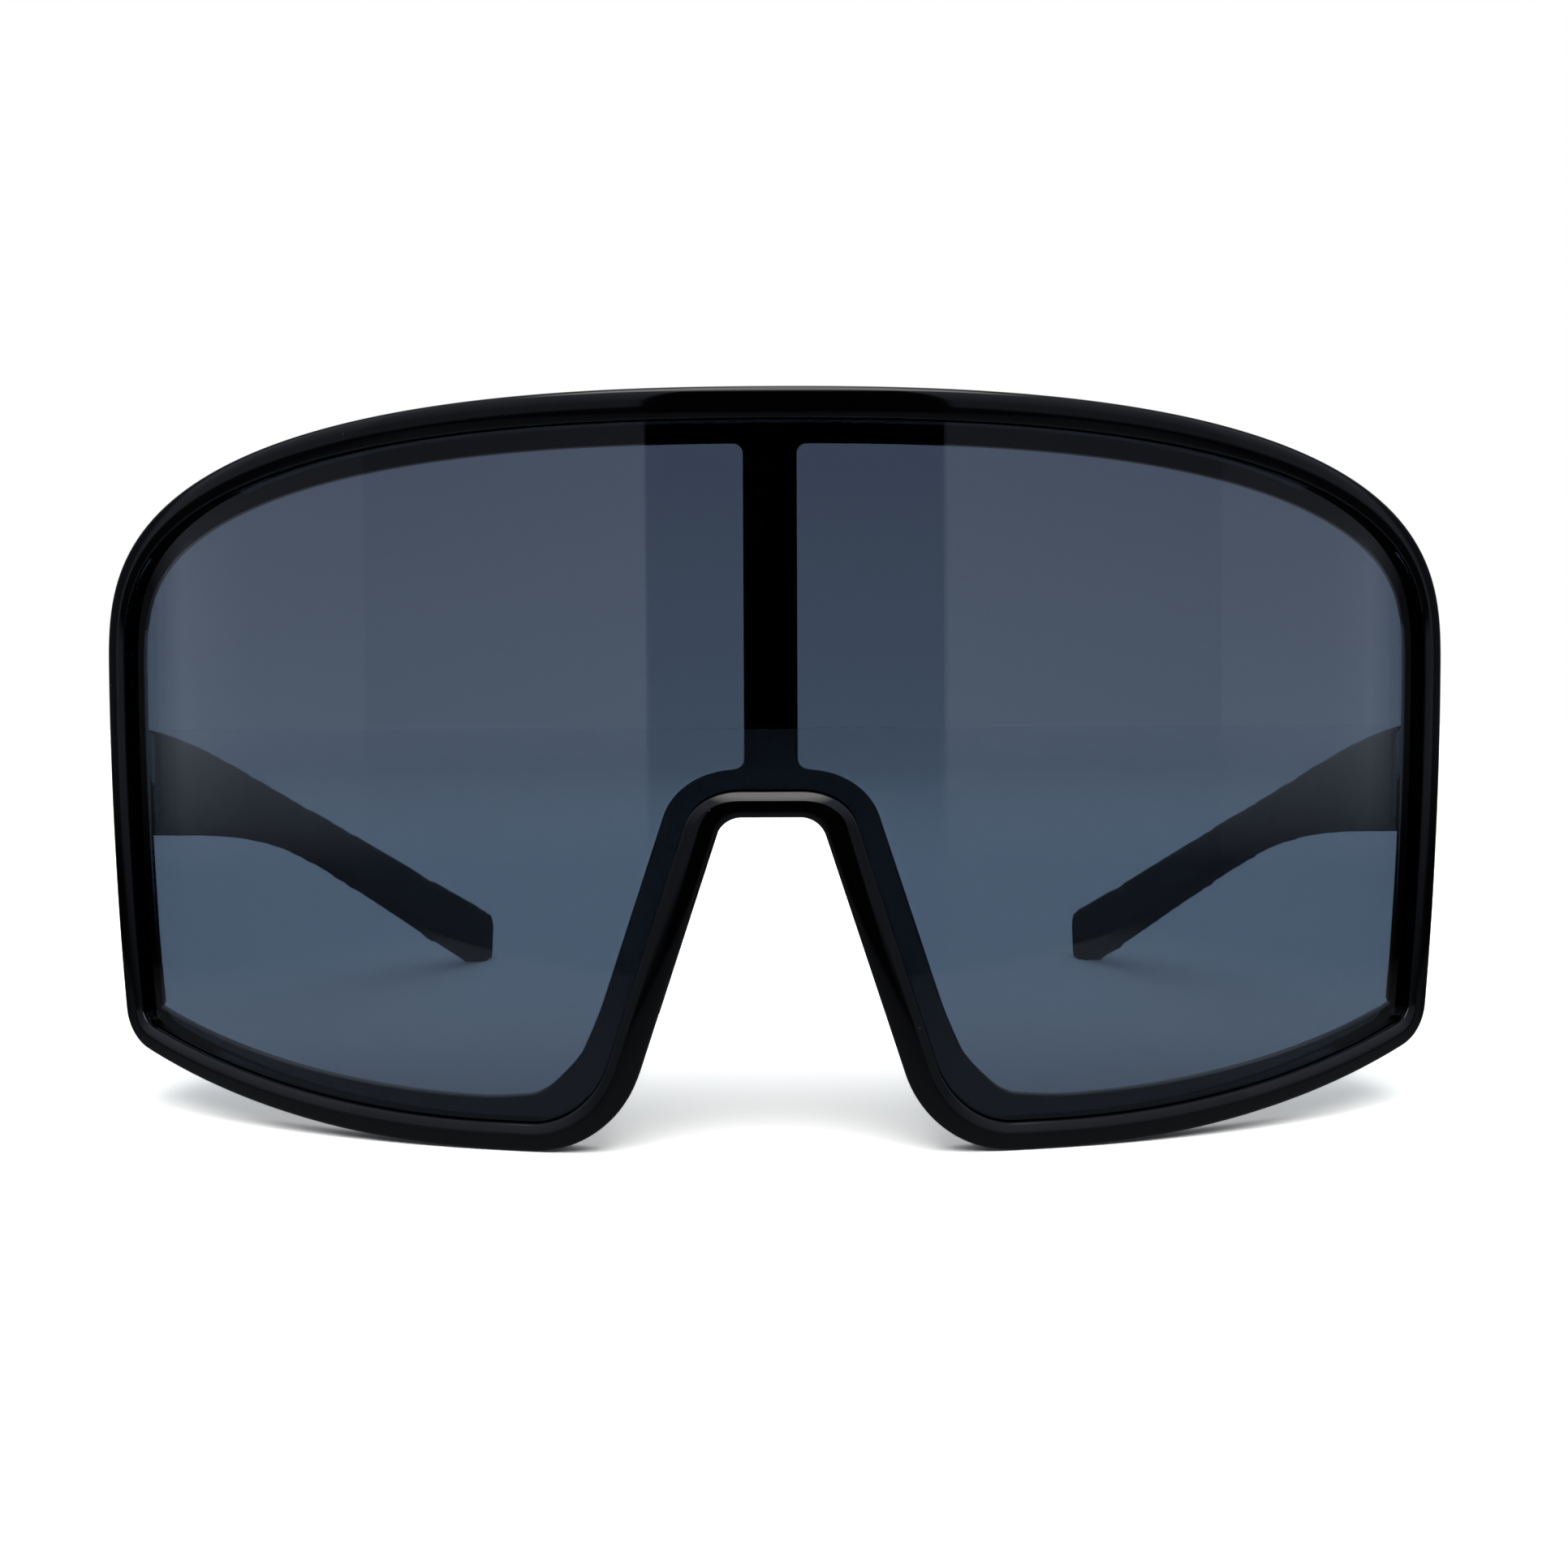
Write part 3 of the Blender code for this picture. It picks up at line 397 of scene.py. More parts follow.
def brow(share):
    """The brow's superellipse, from the middle of the top edge to the widest level."""
    rise = FRONT_HEIGHT - WIDEST_LEVEL
    angle = math.pi / 2 * (1 - share)
    across = max(math.cos(angle), 0.0) ** (2 / BROW_EXPONENT)
    up = max(math.sin(angle), 0.0) ** (2 / BROW_EXPONENT)
    normal_x = across ** (BROW_EXPONENT - 1) / HALF_WIDTH
    normal_z = up ** (BROW_EXPONENT - 1) / rise
    return Station(HALF_WIDTH * across, WIDEST_LEVEL + rise * up, math.atan2(-normal_x, normal_z),
                   mix(BEAD_BROW, BEAD_SIDE, ease(share)),
                   mix(LEDGE_BROW, LEDGE_SIDE, ease(share)))


print("front", FRONT_WIDTH * 1000, "mm wide and", round(FRONT_HEIGHT * 1000, 1), "mm high")

# %% Place the stations of the sides, lobes and nose arch
JAW_INSET = 0.00235
JAW_LEVEL = 0.0076
JAW_ROUNDING = 0.0050
LOBE_ROUNDING = 0.0114
FOOT_LENGTH = 0.0040
NOSE_HEIGHT = 0.0328
NOSE_TOP_WIDTH = 0.0094
NOSE_SPLAY = math.radians(18.2)
NOSE_ROUNDING = 0.0026
BEAD_JAW, LEDGE_JAW = 0.0026, 0.0019
BEAD_FOOT, LEDGE_FOOT = 0.0027, 0.0021
BEAD_LEG, LEDGE_LEG = 0.0032, 0.0023
BEAD_ARCH, LEDGE_ARCH = 0.0025, 0.0021


def outline_nodes():
    """The stations below the brow where one round stretch hands over to the next."""
    leg_heading = math.radians(-270) + NOSE_SPLAY
    leg_foot_x = NOSE_TOP_WIDTH / 2 + NOSE_HEIGHT * math.tan(NOSE_SPLAY)
    half_turn = (math.pi / 2 - NOSE_SPLAY) / 2
    lobe_tangent = LOBE_ROUNDING * math.tan(half_turn)
    arch_tangent = NOSE_ROUNDING * math.tan(half_turn)
    foot_inner = leg_foot_x + lobe_tangent
    foot_outer = foot_inner + FOOT_LENGTH
    side_drop = WIDEST_LEVEL - JAW_LEVEL
    side_radius = (side_drop ** 2 + JAW_INSET ** 2) / (2 * JAW_INSET)
    side_turn = 2 * math.atan(JAW_INSET / side_drop)
    base_run = HALF_WIDTH - JAW_INSET - foot_outer
    base_radius = (base_run ** 2 + JAW_LEVEL ** 2) / (2 * JAW_LEVEL)
    base_turn = 2 * math.atan(JAW_LEVEL / base_run)
    jaw_tangent = JAW_ROUNDING * math.tan((math.pi / 2 - side_turn - base_turn) / 2)
    side_angle = side_turn - jaw_tangent / side_radius
    base_angle = base_turn - jaw_tangent / base_radius
    return [
        Station(HALF_WIDTH, WIDEST_LEVEL, math.radians(-90), BEAD_SIDE, LEDGE_SIDE),
        Station(HALF_WIDTH - side_radius * (1 - math.cos(side_angle)),
                WIDEST_LEVEL - side_radius * math.sin(side_angle),
                math.radians(-90) - side_angle, BEAD_SIDE, LEDGE_SIDE),
        Station(foot_outer + base_radius * math.sin(base_angle),
                base_radius * (1 - math.cos(base_angle)),
                math.radians(-180) + base_angle, BEAD_JAW, LEDGE_JAW),
        Station(foot_outer, 0.0, math.radians(-180), BEAD_FOOT, LEDGE_FOOT),
        Station(foot_inner, 0.0, math.radians(-180), BEAD_FOOT, LEDGE_FOOT),
        Station(leg_foot_x - lobe_tangent * math.sin(NOSE_SPLAY),
                lobe_tangent * math.cos(NOSE_SPLAY), leg_heading, BEAD_LEG, LEDGE_LEG),
        Station(NOSE_TOP_WIDTH / 2 + arch_tangent * math.sin(NOSE_SPLAY),
                NOSE_HEIGHT - arch_tangent * math.cos(NOSE_SPLAY), leg_heading,
                BEAD_LEG, LEDGE_LEG),
        Station(NOSE_TOP_WIDTH / 2 - arch_tangent, NOSE_HEIGHT, math.radians(-180),
                BEAD_ARCH, LEDGE_ARCH),
        Station(0.0, NOSE_HEIGHT, math.radians(-180), BEAD_ARCH, LEDGE_ARCH),
    ]


# %% Follow the outline all round in fine steps
OUTLINE_STEP = 0.0011
OUTLINE_TURN = math.radians(3.5)
FINE_STEPS = 400
LOBE_START = 4
LOBE_FLARE, LOBE_REACH = 0.0010, 0.0125


def spaced(stretch):
    """Keep both ends and only those stations that the step and the turn call for."""
    kept = [stretch[0]]
    for here, after in zip(stretch[1:], stretch[2:]):
        last = kept[-1]
        too_far = math.hypot(after.x - last.x, after.z - last.z) > OUTLINE_STEP
        too_bent = abs(after.heading - last.heading) > OUTLINE_TURN
        if too_far or too_bent:
            kept.append(here)
    kept.append(stretch[-1])
    return kept


def front_outline():
    """Stations clockwise from the middle of the brow; a lobe follows node LOBE_START."""
    shares = [k / FINE_STEPS for k in range(FINE_STEPS + 1)]
    half = spaced([brow(share) for share in shares])
    nodes = outline_nodes()
    for start, end in zip(nodes, nodes[1:]):
        half += spaced([bend(start, end, share) for share in shares])[1:]
    lobe = bend(nodes[LOBE_START], nodes[LOBE_START + 1], 0.5)
    for station in half:
        away = math.hypot(station.x - lobe.x, station.z - lobe.z)
        station.ledge += LOBE_FLARE * ease(max(0.0, 1 - away / LOBE_REACH))
    other = [Station(-s.x, s.z, -s.heading, s.bead, s.ledge) for s in reversed(half[1:-1])]
    return half + other


outline = front_outline()
print(len(outline), "stations round the front")

# %% Wrap the front round a cylinder
FRONT_RADIUS = 0.1040


def behind_crest(x, depth):
    """The y of a point that lies `depth` behind the bead's crest, x off the middle."""
    return crest_y + FRONT_RADIUS - math.sqrt((FRONT_RADIUS - depth) ** 2 - x * x)


print("sides", round((behind_crest(HALF_WIDTH, 0.0) - crest_y) * 1000, 1), "mm behind the middle")

# %% [markdown]
# ## Gloss-black polycarbonate
# The front is injection-moulded polycarbonate from a polished tool, dyed black right through.
# What the eye gets is almost only the clear reflection on its skin. The faintest waves, 6 mm
# long, show where the plastic shrank as it cooled, the polish is a little uneven every 2 mm, and
# a few specks of dust lie on it.

# %% Helper to start a material
def start_material(name):
    """A new material with its tree, its shader and the object's own coordinates."""
    material = bpy.data.materials.new(name)
    material.use_nodes = True
    tree = material.node_tree
    place = add_node(tree, "ShaderNodeTexCoord", {}).outputs["Object"]
    print("material", name)
    return material, tree, tree.nodes["Principled BSDF"], place


# %% Make the front's plastic
POLYCARBONATE_IOR = 1.585
WAVE_SIZE = 0.006
WAVE_DEPTH = 0.00002
POLISH_SIZE = 0.002
DUST_SPACING = 0.0035
DUST_SIZE = 0.00007
DUST_GREY = "#55555a"


def moulded_black(name, colour, roughness, reflectance):
    """Black moulded plastic: long faint waves, a little uneven polish, and specks of dust."""
    material, tree, shader, place = start_material(name)
    waves = add_node(tree, "ShaderNodeTexNoise",
                     {"Vector": place, "Scale": 1 / WAVE_SIZE, "Detail": 1.0})
    polish = add_node(tree, "ShaderNodeTexNoise",
                      {"Vector": place, "Scale": 1 / POLISH_SIZE, "Detail": 4.0})
    gloss = add_node(tree, "ShaderNodeMapRange",
                     {"Value": polish.outputs["Fac"], "From Min": 0.35, "From Max": 0.70,
                      "To Min": roughness * 0.9, "To Max": roughness * 1.15})
    dust = add_node(tree, "ShaderNodeTexVoronoi", {"Vector": place, "Scale": 1 / DUST_SPACING})
    speck = add_node(tree, "ShaderNodeMapRange",
                     {"Value": dust.outputs["Distance"], "From Min": DUST_SIZE / DUST_SPACING / 2,
                      "From Max": DUST_SIZE / DUST_SPACING, "To Min": 1.0, "To Max": 0.0})
    skin = add_node(tree, "ShaderNodeMix",
                    {"Factor": speck, 6: linear(colour), 7: linear(DUST_GREY)}, data_type="RGBA")
    bump = add_node(tree, "ShaderNodeBump",
                    {"Height": waves.outputs["Fac"], "Strength": 0.10, "Distance": WAVE_DEPTH})
    set_inputs(shader, {"Base Color": skin.outputs[2], "Roughness": gloss, "Normal": bump,
                        "IOR": POLYCARBONATE_IOR, "Specular IOR Level": reflectance})
    return material


front_plastic = moulded_black("polished_black_polycarbonate", "#020203", 0.06, 0.45)

# %% [markdown]
# ## The rim
# The rim's section is a raised bead, a sloping flank down to the lens and a flat ledge behind
# it. A section could be swept along a curve, but the bead and the ledge change width all the
# way round. So a flat grid is rolled up instead: its columns become the section, its rows
# become the stations, and merging the doubles closes the seam both ways. The bead's face is
# gently domed, which spreads the room's reflection over it.

# %% Sizes of the rim's section
LENS_THICKNESS = 0.0018
FIT_GAP = 0.0003
LEDGE_THICKNESS = 0.0015
LEDGE_FRONT = BEAD_PROUD + LENS_THICKNESS + FIT_GAP
RIM_DEPTH = LEDGE_FRONT + LEDGE_THICKNESS
OUTER_ROUNDING = 0.0005
FACE_LEAN = math.radians(8)
FLANK_RUN = 0.0009
FLANK_LEAN = math.radians(17)
CREASE_ROUNDING = 0.00025
LIP_ROUNDING = 0.00022
LEDGE_ROUNDING = 0.0004
BACK_ROUNDING = 0.0004
print("rim", round(RIM_DEPTH * 1000, 2), "mm deep")

# %% Walk round the section
WALL_SHARES = (0.6, 0.2, 0.0)
QUARTER_STEPS = 4


def quarter_turn(steps):
    """The angles of a quarter turn, both ends included."""
    return [math.radians(90 * k / steps) for k in range(steps + 1)]


def arc(offset, depth, radius, start, end, steps):
    """Points of an arc that leaves (offset, depth) leaning `start` and ends leaning `end`.
    The lean is the fall towards the back for each step inward; a wall facing out leans -90."""
    points = []
    for k in range(1, steps + 1):
        lean = mix(start, end, k / steps)
        points.append((offset + radius * (math.sin(lean) - math.sin(start)),
                       depth + radius * (math.cos(start) - math.cos(lean))))
    return points


def rim_section(bead, ledge):
    """Offsets in from the outline and depths behind the crest, once round the rim."""
    crown_run = bead - FLANK_RUN - OUTER_ROUNDING * (1 - math.sin(FACE_LEAN))
    crown_radius = crown_run / (2 * math.sin(FACE_LEAN))
    crown_fall = crown_radius * (1 - math.cos(FACE_LEAN))
    upright = math.radians(90)
    wall_end = crown_fall + OUTER_ROUNDING * math.cos(FACE_LEAN)
    section = [(0.0, mix(wall_end, RIM_DEPTH - BACK_ROUNDING, share)) for share in WALL_SHARES]
    section += arc(0.0, wall_end, OUTER_ROUNDING, -upright, -FACE_LEAN, steps=8)
    section += arc(*section[-1], crown_radius, -FACE_LEAN, FACE_LEAN, steps=6)
    section += arc(*section[-1], CREASE_ROUNDING, FACE_LEAN, FLANK_LEAN, steps=3)
    lip_run = LIP_ROUNDING * (1 - math.sin(FLANK_LEAN))
    flank_end = bead - lip_run
    flank_run = flank_end - section[-1][0]
    section += [(flank_end, section[-1][1] + flank_run * math.tan(FLANK_LEAN))]
    section += arc(*section[-1], LIP_ROUNDING, FLANK_LEAN, upright, steps=5)
    section += [(bead, LEDGE_FRONT), (bead + ledge - LEDGE_ROUNDING, LEDGE_FRONT)]
    section += arc(*section[-1], LEDGE_ROUNDING, 0.0, upright, steps=5)
    section += [(bead + ledge, RIM_DEPTH - BACK_ROUNDING)]
    quarter = quarter_turn(QUARTER_STEPS)
    section += [(bead + ledge - BACK_ROUNDING * (1 - math.cos(turn)),
                 RIM_DEPTH - BACK_ROUNDING * (1 - math.sin(turn))) for turn in quarter[1:]]
    section += [(BACK_ROUNDING * (1 - math.sin(turn)),
                 RIM_DEPTH - BACK_ROUNDING * (1 - math.cos(turn))) for turn in quarter[:-1]]
    return section


def rolled_grid(rings, closed):
    """A grid whose rows are laid on the rings of points; a closed one returns to its start."""
    rows = len(rings) if closed else len(rings) - 1
    columns = len(rings[0])
    bm = bmesh.new()
    bmesh.ops.create_grid(bm, x_segments=columns, y_segments=rows, size=1.0)
    for vertex in bm.verts:
        column = round((vertex.co.x + 1) / 2 * columns) % columns
        row = round((vertex.co.y + 1) / 2 * rows) % len(rings)
        vertex.co = rings[row][column]
    bmesh.ops.remove_doubles(bm, verts=bm.verts[:], dist=1e-7)
    if not closed:
        open_edges = [edge for edge in bm.edges if edge.is_boundary]
        bmesh.ops.holes_fill(bm, edges=open_edges)
    return bm


# %% Roll up the rim
rim_rings = []
for station in outline:
    ring = []
    for offset, depth in rim_section(station.bead, station.ledge):
        x, z = station.inward(offset)
        ring.append((x, behind_crest(x, depth), z))
    rim_rings.append(ring)
rim = rolled_grid(rim_rings, closed=True)
print("rim:", len(rim.faces), "faces")

# %% [markdown]
# ## Joining and cutting solids
# The bar and the endpieces are one moulding with the rim, and the hinges sit in pockets cut into
# it. An exact Boolean modifier does both. Its result becomes the piece's own mesh and the tools
# are thrown away, so nothing hidden is left in the scene.

# %% Helpers for solids
def combined(bm, joined, cut):
    """One solid joined with some and cut by others, as a new bmesh."""
    target = plain_object(bm, "target")
    tools = []
    for operation, pieces in (("UNION", joined), ("DIFFERENCE", cut)):
        for number, piece in enumerate(pieces):
            tool = plain_object(piece, f"{operation}_{number}")
            tools.append(tool)
            boolean = target.modifiers.new(tool.name, "BOOLEAN")
            boolean.operation = operation
            boolean.solver = "EXACT"
            boolean.object = tool
    evaluated = target.evaluated_get(bpy.context.evaluated_depsgraph_get())
    result = bmesh.new()
    result.from_mesh(evaluated.data)
    for item in tools + [target]:
        bpy.data.objects.remove(item, do_unlink=True)
    return result


def block(low, high):
    """A box between two opposite corners, given in any order."""
    low, high = Vector(low), Vector(high)
    bm = bmesh.new()
    bmesh.ops.create_cube(bm, size=1.0)
    bmesh.ops.scale(bm, verts=bm.verts[:], vec=[abs(length) for length in high - low])
    bmesh.ops.translate(bm, verts=bm.verts[:], vec=(low + high) / 2)
    return bm


def upright_rod(radius, centre, low, high, sides=48):
    """A cylinder about an upright axis, from one height to another."""
    bm = bmesh.new()
    bmesh.ops.create_cone(bm, cap_ends=True, segments=sides, radius1=radius, radius2=radius,
                          depth=high - low)
    bmesh.ops.translate(bm, verts=bm.verts[:], vec=(centre[0], centre[1], (low + high) / 2))
    return bm


# %% [markdown]
# ## Centre bar and endpieces
# Behind the lens an upright bar ties the brow to the nose arch, with a small flare at each end.
# At each side a lug runs back from the rim and carries the hinge, flared where it leaves the rim.
# The finished solid then becomes a piece that rides on the front's body and stands for its node.

# %% Make the centre bar
BAR_WIDTH = 0.0052
BAR_FLARE = 0.0010
BAR_DEPTH = 0.0013
BAR_BITE = 0.0005
BAR_EDGE = 0.00018
BAR_TURNS = 8


def centre_bar():
    """Half a profile mirrored into a flat plate, pushed back and eased along its edges."""
    low = NOSE_HEIGHT + BEAD_ARCH + LEDGE_ARCH
    high = FRONT_HEIGHT - BEAD_BROW - LEDGE_BROW
    half = BAR_WIDTH / 2
    turns = quarter_turn(BAR_TURNS)
    side = [(half + BAR_FLARE, low - BAR_BITE)]
    side += [(half + BAR_FLARE * (1 - math.sin(a)), low + BAR_FLARE * (1 - math.cos(a)))
             for a in turns]
    side += [(half + BAR_FLARE * (1 - math.cos(a)), high - BAR_FLARE * (1 - math.sin(a)))
             for a in turns]
    side += [(half + BAR_FLARE, high + BAR_BITE)]
    loop = side + [(-x, z) for x, z in reversed(side)]
    front_y = crest_y + LEDGE_FRONT + (RIM_DEPTH - LEDGE_FRONT - BAR_DEPTH) / 2
    bm = bmesh.new()
    plate = bm.faces.new([bm.verts.new((x, front_y, z)) for x, z in loop])
    pushed = bmesh.ops.extrude_face_region(bm, geom=[plate])
    moved = [item for item in pushed["geom"] if isinstance(item, bmesh.types.BMVert)]
    bmesh.ops.translate(bm, verts=moved, vec=(0, BAR_DEPTH, 0))
    long_edges = [edge for edge in bm.edges
                  if abs(edge.verts[0].co.y - edge.verts[1].co.y) < 1e-6
                  and edge.verts[0].co.x * edge.verts[1].co.x > 0]
    bmesh.ops.bevel(bm, geom=long_edges, offset=BAR_EDGE, offset_type="OFFSET", segments=2,
                    profile=0.5, affect="EDGES", material=-1)
    return bm


# %% Helpers for the pieces of one side
CORNER_STEPS = 6


def rounded_rectangle(low_x, high_x, low_z, high_z, radius, y):
    """A ring of points: an upright rectangle at one y with round corners."""
    corners = ((high_x - radius, high_z - radius, 0), (low_x + radius, high_z - radius, 90),
               (low_x + radius, low_z + radius, 180), (high_x - radius, low_z + radius, 270))
    ring = []
    for x, z, start in corners:
        for step in range(CORNER_STEPS + 1):
            angle = math.radians(start + 90 * step / CORNER_STEPS)
            ring.append((x + radius * math.cos(angle), y, z + radius * math.sin(angle)))
    return ring


def on_side(side, points):
    """Points made for the wearer's left, mirrored when the side is -1."""
    return [(side * x, y, z) for x, y, z in points]


# %% Make the endpieces
HINGE_INSET = 0.00185
HINGE_X = HALF_WIDTH - HINGE_INSET
KNUCKLE_RADIUS = 0.0012
INNER_FACE_X = HINGE_X - KNUCKLE_RADIUS
HINGE_REACH = 0.0051
HINGE_Y = behind_crest(HINGE_X, RIM_DEPTH) + HINGE_REACH
ENDPIECE_FLARE = 0.0012
ENDPIECE_BITE = 0.0007
ENDPIECE_ROWS = 14
TEMPLE_ROOT_LEVEL = 0.0350
TEMPLE_ROOT_HEIGHT = 0.0120
TEMPLE_ROOT_THICKNESS = 0.0040
EDGE_ROUNDING = 0.0012
print("hinge axes", round(2 * HINGE_X * 1000, 1), "mm apart")


def endpiece(side):
    """The lug from the rim's side back to the hinge."""
    start_y = behind_crest(INNER_FACE_X, RIM_DEPTH) - ENDPIECE_BITE
    rings = []
    for k in range(ENDPIECE_ROWS + 1):
        share = k / ENDPIECE_ROWS
        grown = ease(share)
        outer = mix(HALF_WIDTH - OUTER_ROUNDING / 2, INNER_FACE_X + TEMPLE_ROOT_THICKNESS, grown)
        half = TEMPLE_ROOT_HEIGHT / 2 + ENDPIECE_FLARE * (1 - grown)
        ring = rounded_rectangle(INNER_FACE_X, outer, TEMPLE_ROOT_LEVEL - half,
                                 TEMPLE_ROOT_LEVEL + half, EDGE_ROUNDING,
                                 mix(start_y, HINGE_Y, share))
        rings.append(on_side(side, ring))
    return rolled_grid(rings, closed=False)


# %% Make the cutters for the hinges
HINGE_LEVEL = 0.0346
LEAF_THICKNESS = 0.0009
LEAF_HEIGHT = 0.0080
POCKET_RADIUS = KNUCKLE_RADIUS + FIT_GAP


def hinge_slot(side, start, end):
    """The room round a hinge leaf, from one distance behind the axis to another."""
    half = LEAF_HEIGHT / 2 + FIT_GAP
    return block((side * (HINGE_X - FIT_GAP), HINGE_Y + start, HINGE_LEVEL - half),
                 (side * (HINGE_X + LEAF_THICKNESS + FIT_GAP), HINGE_Y + end,
                  HINGE_LEVEL + half))


def knuckle_pocket(side):
    """The round room about the knuckles, open above so that the screw can go in."""
    return upright_rod(POCKET_RADIUS, (side * HINGE_X, HINGE_Y),
                       HINGE_LEVEL - LEAF_HEIGHT / 2 - FIT_GAP, HINGE_LEVEL + TEMPLE_ROOT_HEIGHT)


# %% Put the front together
FRONT_LEAF_LENGTH = 0.0046
SIDES = ((1, "left"), (-1, "right"))


def new_piece(bm, name, body, material, replaced, sharp_degrees=30):
    """The bmesh as an object that rides on a body and stands for a CAD node."""
    piece = plain_object(bm, name)
    piece.data.materials.append(material)
    piece.data.shade_smooth()
    piece.data.set_sharp_from_angle(angle=math.radians(sharp_degrees))
    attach(piece, body)
    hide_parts(replaced)
    print(name, len(piece.data.polygons), "faces")
    return piece


slots = [hinge_slot(side, -FRONT_LEAF_LENGTH - FIT_GAP, KNUCKLE_RADIUS) for side, word in SIDES]
pockets = [knuckle_pocket(side) for side, word in SIDES]
endpieces = [endpiece(side) for side, word in SIDES]
front_solid = combined(rim, [centre_bar()] + endpieces, slots + pockets)
new_piece(front_solid, "front", "front", front_plastic, "front_frame")

# %% [markdown]
# ## Smoke lens
# The lens is one thermoformed sheet of tinted polycarbonate. It lets through about a fourteenth
# of the light, a little less at the top. Its front has a thin flash coating that mirrors about
# a sixth of the room, so the card's edge shows in it. The rim of the lens that lies over the
# ledge was clamped while it was coated and stayed bare, so the ledge looks blacker than the
# rest. The coat has faint wiping marks, about 17 mm apart, that show only in the gloss.

# %% Make the lens's plastic
TINT_LOW, TINT_HIGH = "#465567", "#3e495c"
TINT_BOTTOM, TINT_TOP = 0.038, 0.066
WIPING_SPACING = 0.0166667
FLASH_IOR = 2.15
FLASH_LAYER = "flash_coated"


def tinted_lens():
    """Tinted plastic, darker towards the top, with a mirroring coat where the layer says so."""
    material, tree, shader, place = start_material("smoke_polycarbonate_flash_coated")
    split = add_node(tree, "ShaderNodeSeparateXYZ", {"Vector": place})
    share = add_node(tree, "ShaderNodeMapRange",
                     {"Value": split.outputs["Z"], "From Min": TINT_BOTTOM, "From Max": TINT_TOP})
    tint = add_node(tree, "ShaderNodeMix",
                    {"Factor": share, 6: linear(TINT_LOW), 7: linear(TINT_HIGH)}, data_type="RGBA")
    wiping = add_node(tree, "ShaderNodeTexNoise",
                      {"Vector": place, "Scale": 1 / WIPING_SPACING, "Detail": 5.0})
    gloss = add_node(tree, "ShaderNodeMapRange",
                     {"Value": wiping.outputs["Fac"], "From Min": 0.45, "From Max": 0.75,
                      "To Min": 0.0, "To Max": 0.02})
    coated = add_node(tree, "ShaderNodeAttribute", {}, attribute_name=FLASH_LAYER)
    set_inputs(shader, {"Base Color": tint.outputs[2], "Roughness": gloss,
                        "IOR": POLYCARBONATE_IOR, "Transmission Weight": 1.0,
                        "Coat Weight": coated.outputs["Fac"], "Coat IOR": FLASH_IOR,
                        "Coat Roughness": 0.01})
    return material


lens_plastic = tinted_lens()

# %% Cut the blank and bend it
LENS_EDGE_GAP = 0.00012
LENS_STRIP = 0.0012
FLASH_MARGIN = 0.0002
FLASH_FADE = 0.0001


def curved_lens():
    """A flat blank cut to the rebate, scored into upright strips and bent to the front."""
    bm = bmesh.new()
    flash = bm.verts.layers.float.new(FLASH_LAYER)
    loops = []
    borders = ((0, LENS_EDGE_GAP, 0.0), (1, FLASH_MARGIN - FLASH_FADE, 0.0),
               (1, FLASH_MARGIN, 1.0))
    for ledge_share, margin, coated in borders:
        loop = []
        for station in outline:
            x, z = station.inward(station.bead + ledge_share * station.ledge + margin)
            loop.append(bm.verts.new((x, 0.0, z)))
            loop[-1][flash] = coated
        loops.append(loop)
    for outer, inner in zip(loops, loops[1:]):
        for k in range(len(outline)):
            bm.faces.new((outer[k - 1], outer[k], inner[k], inner[k - 1]))
    bm.faces.new(loops[-1])
    strips = int(HALF_WIDTH / LENS_STRIP)
    for k in range(-strips, strips + 1):
        bmesh.ops.bisect_plane(bm, geom=bm.verts[:] + bm.edges[:] + bm.faces[:],
                               plane_co=(k * LENS_STRIP, 0, 0), plane_no=(1, 0, 0), dist=1e-6)
    front_verts = set(bm.verts)
    bmesh.ops.extrude_face_region(bm, geom=bm.faces[:])
    for vertex in bm.verts:
        depth = BEAD_PROUD
        if vertex not in front_verts:
            depth += LENS_THICKNESS
            vertex[flash] = 0.0
        vertex.co.y = behind_crest(vertex.co.x, depth)
    return bm


new_piece(curved_lens(), "lens", "front", lens_plastic, "shield_lens", 40)

# %% [markdown]
# ## Nose pads
# Each leg of the arch has a soft fin behind it that lies along the nose. It is moulded of black
# rubber with a fine spark-eroded grain, so it stays matt beside all the gloss. The real grain is
# under 0.1 mm and wouldn't show, so it is drawn 0.25 mm wide. A faint bloom makes the black a
# little lighter in patches of 3 mm. The fin is lofted from rings, one for each level, because it
# twists and thins as it goes down.

# %% Make the rubber
GRAIN_WIDTH = 0.00025
GRAIN_DEPTH = 0.00005
BLOOM_SIZE = 0.0033333
RUBBER_IOR = 1.41

pad_rubber, tree, shader, place = start_material("spark_grained_silicone_rubber")
grain = add_node(tree, "ShaderNodeTexNoise",
                 {"Vector": place, "Scale": 1 / GRAIN_WIDTH, "Detail": 2.0})
bloom = add_node(tree, "ShaderNodeTexNoise",
                 {"Vector": place, "Scale": 1 / BLOOM_SIZE, "Detail": 3.0})
tone = add_node(tree, "ShaderNodeMix", {"Factor": bloom.outputs["Fac"], 6: linear("#0c0c0d"),
                                        7: linear("#17171a")}, data_type="RGBA")
bump = add_node(tree, "ShaderNodeBump",
                {"Height": grain.outputs["Fac"], "Strength": 0.35, "Distance": GRAIN_DEPTH})
set_inputs(shader, {"Base Color": tone.outputs[2], "Normal": bump, "Roughness": 0.55,
                    "IOR": RUBBER_IOR})

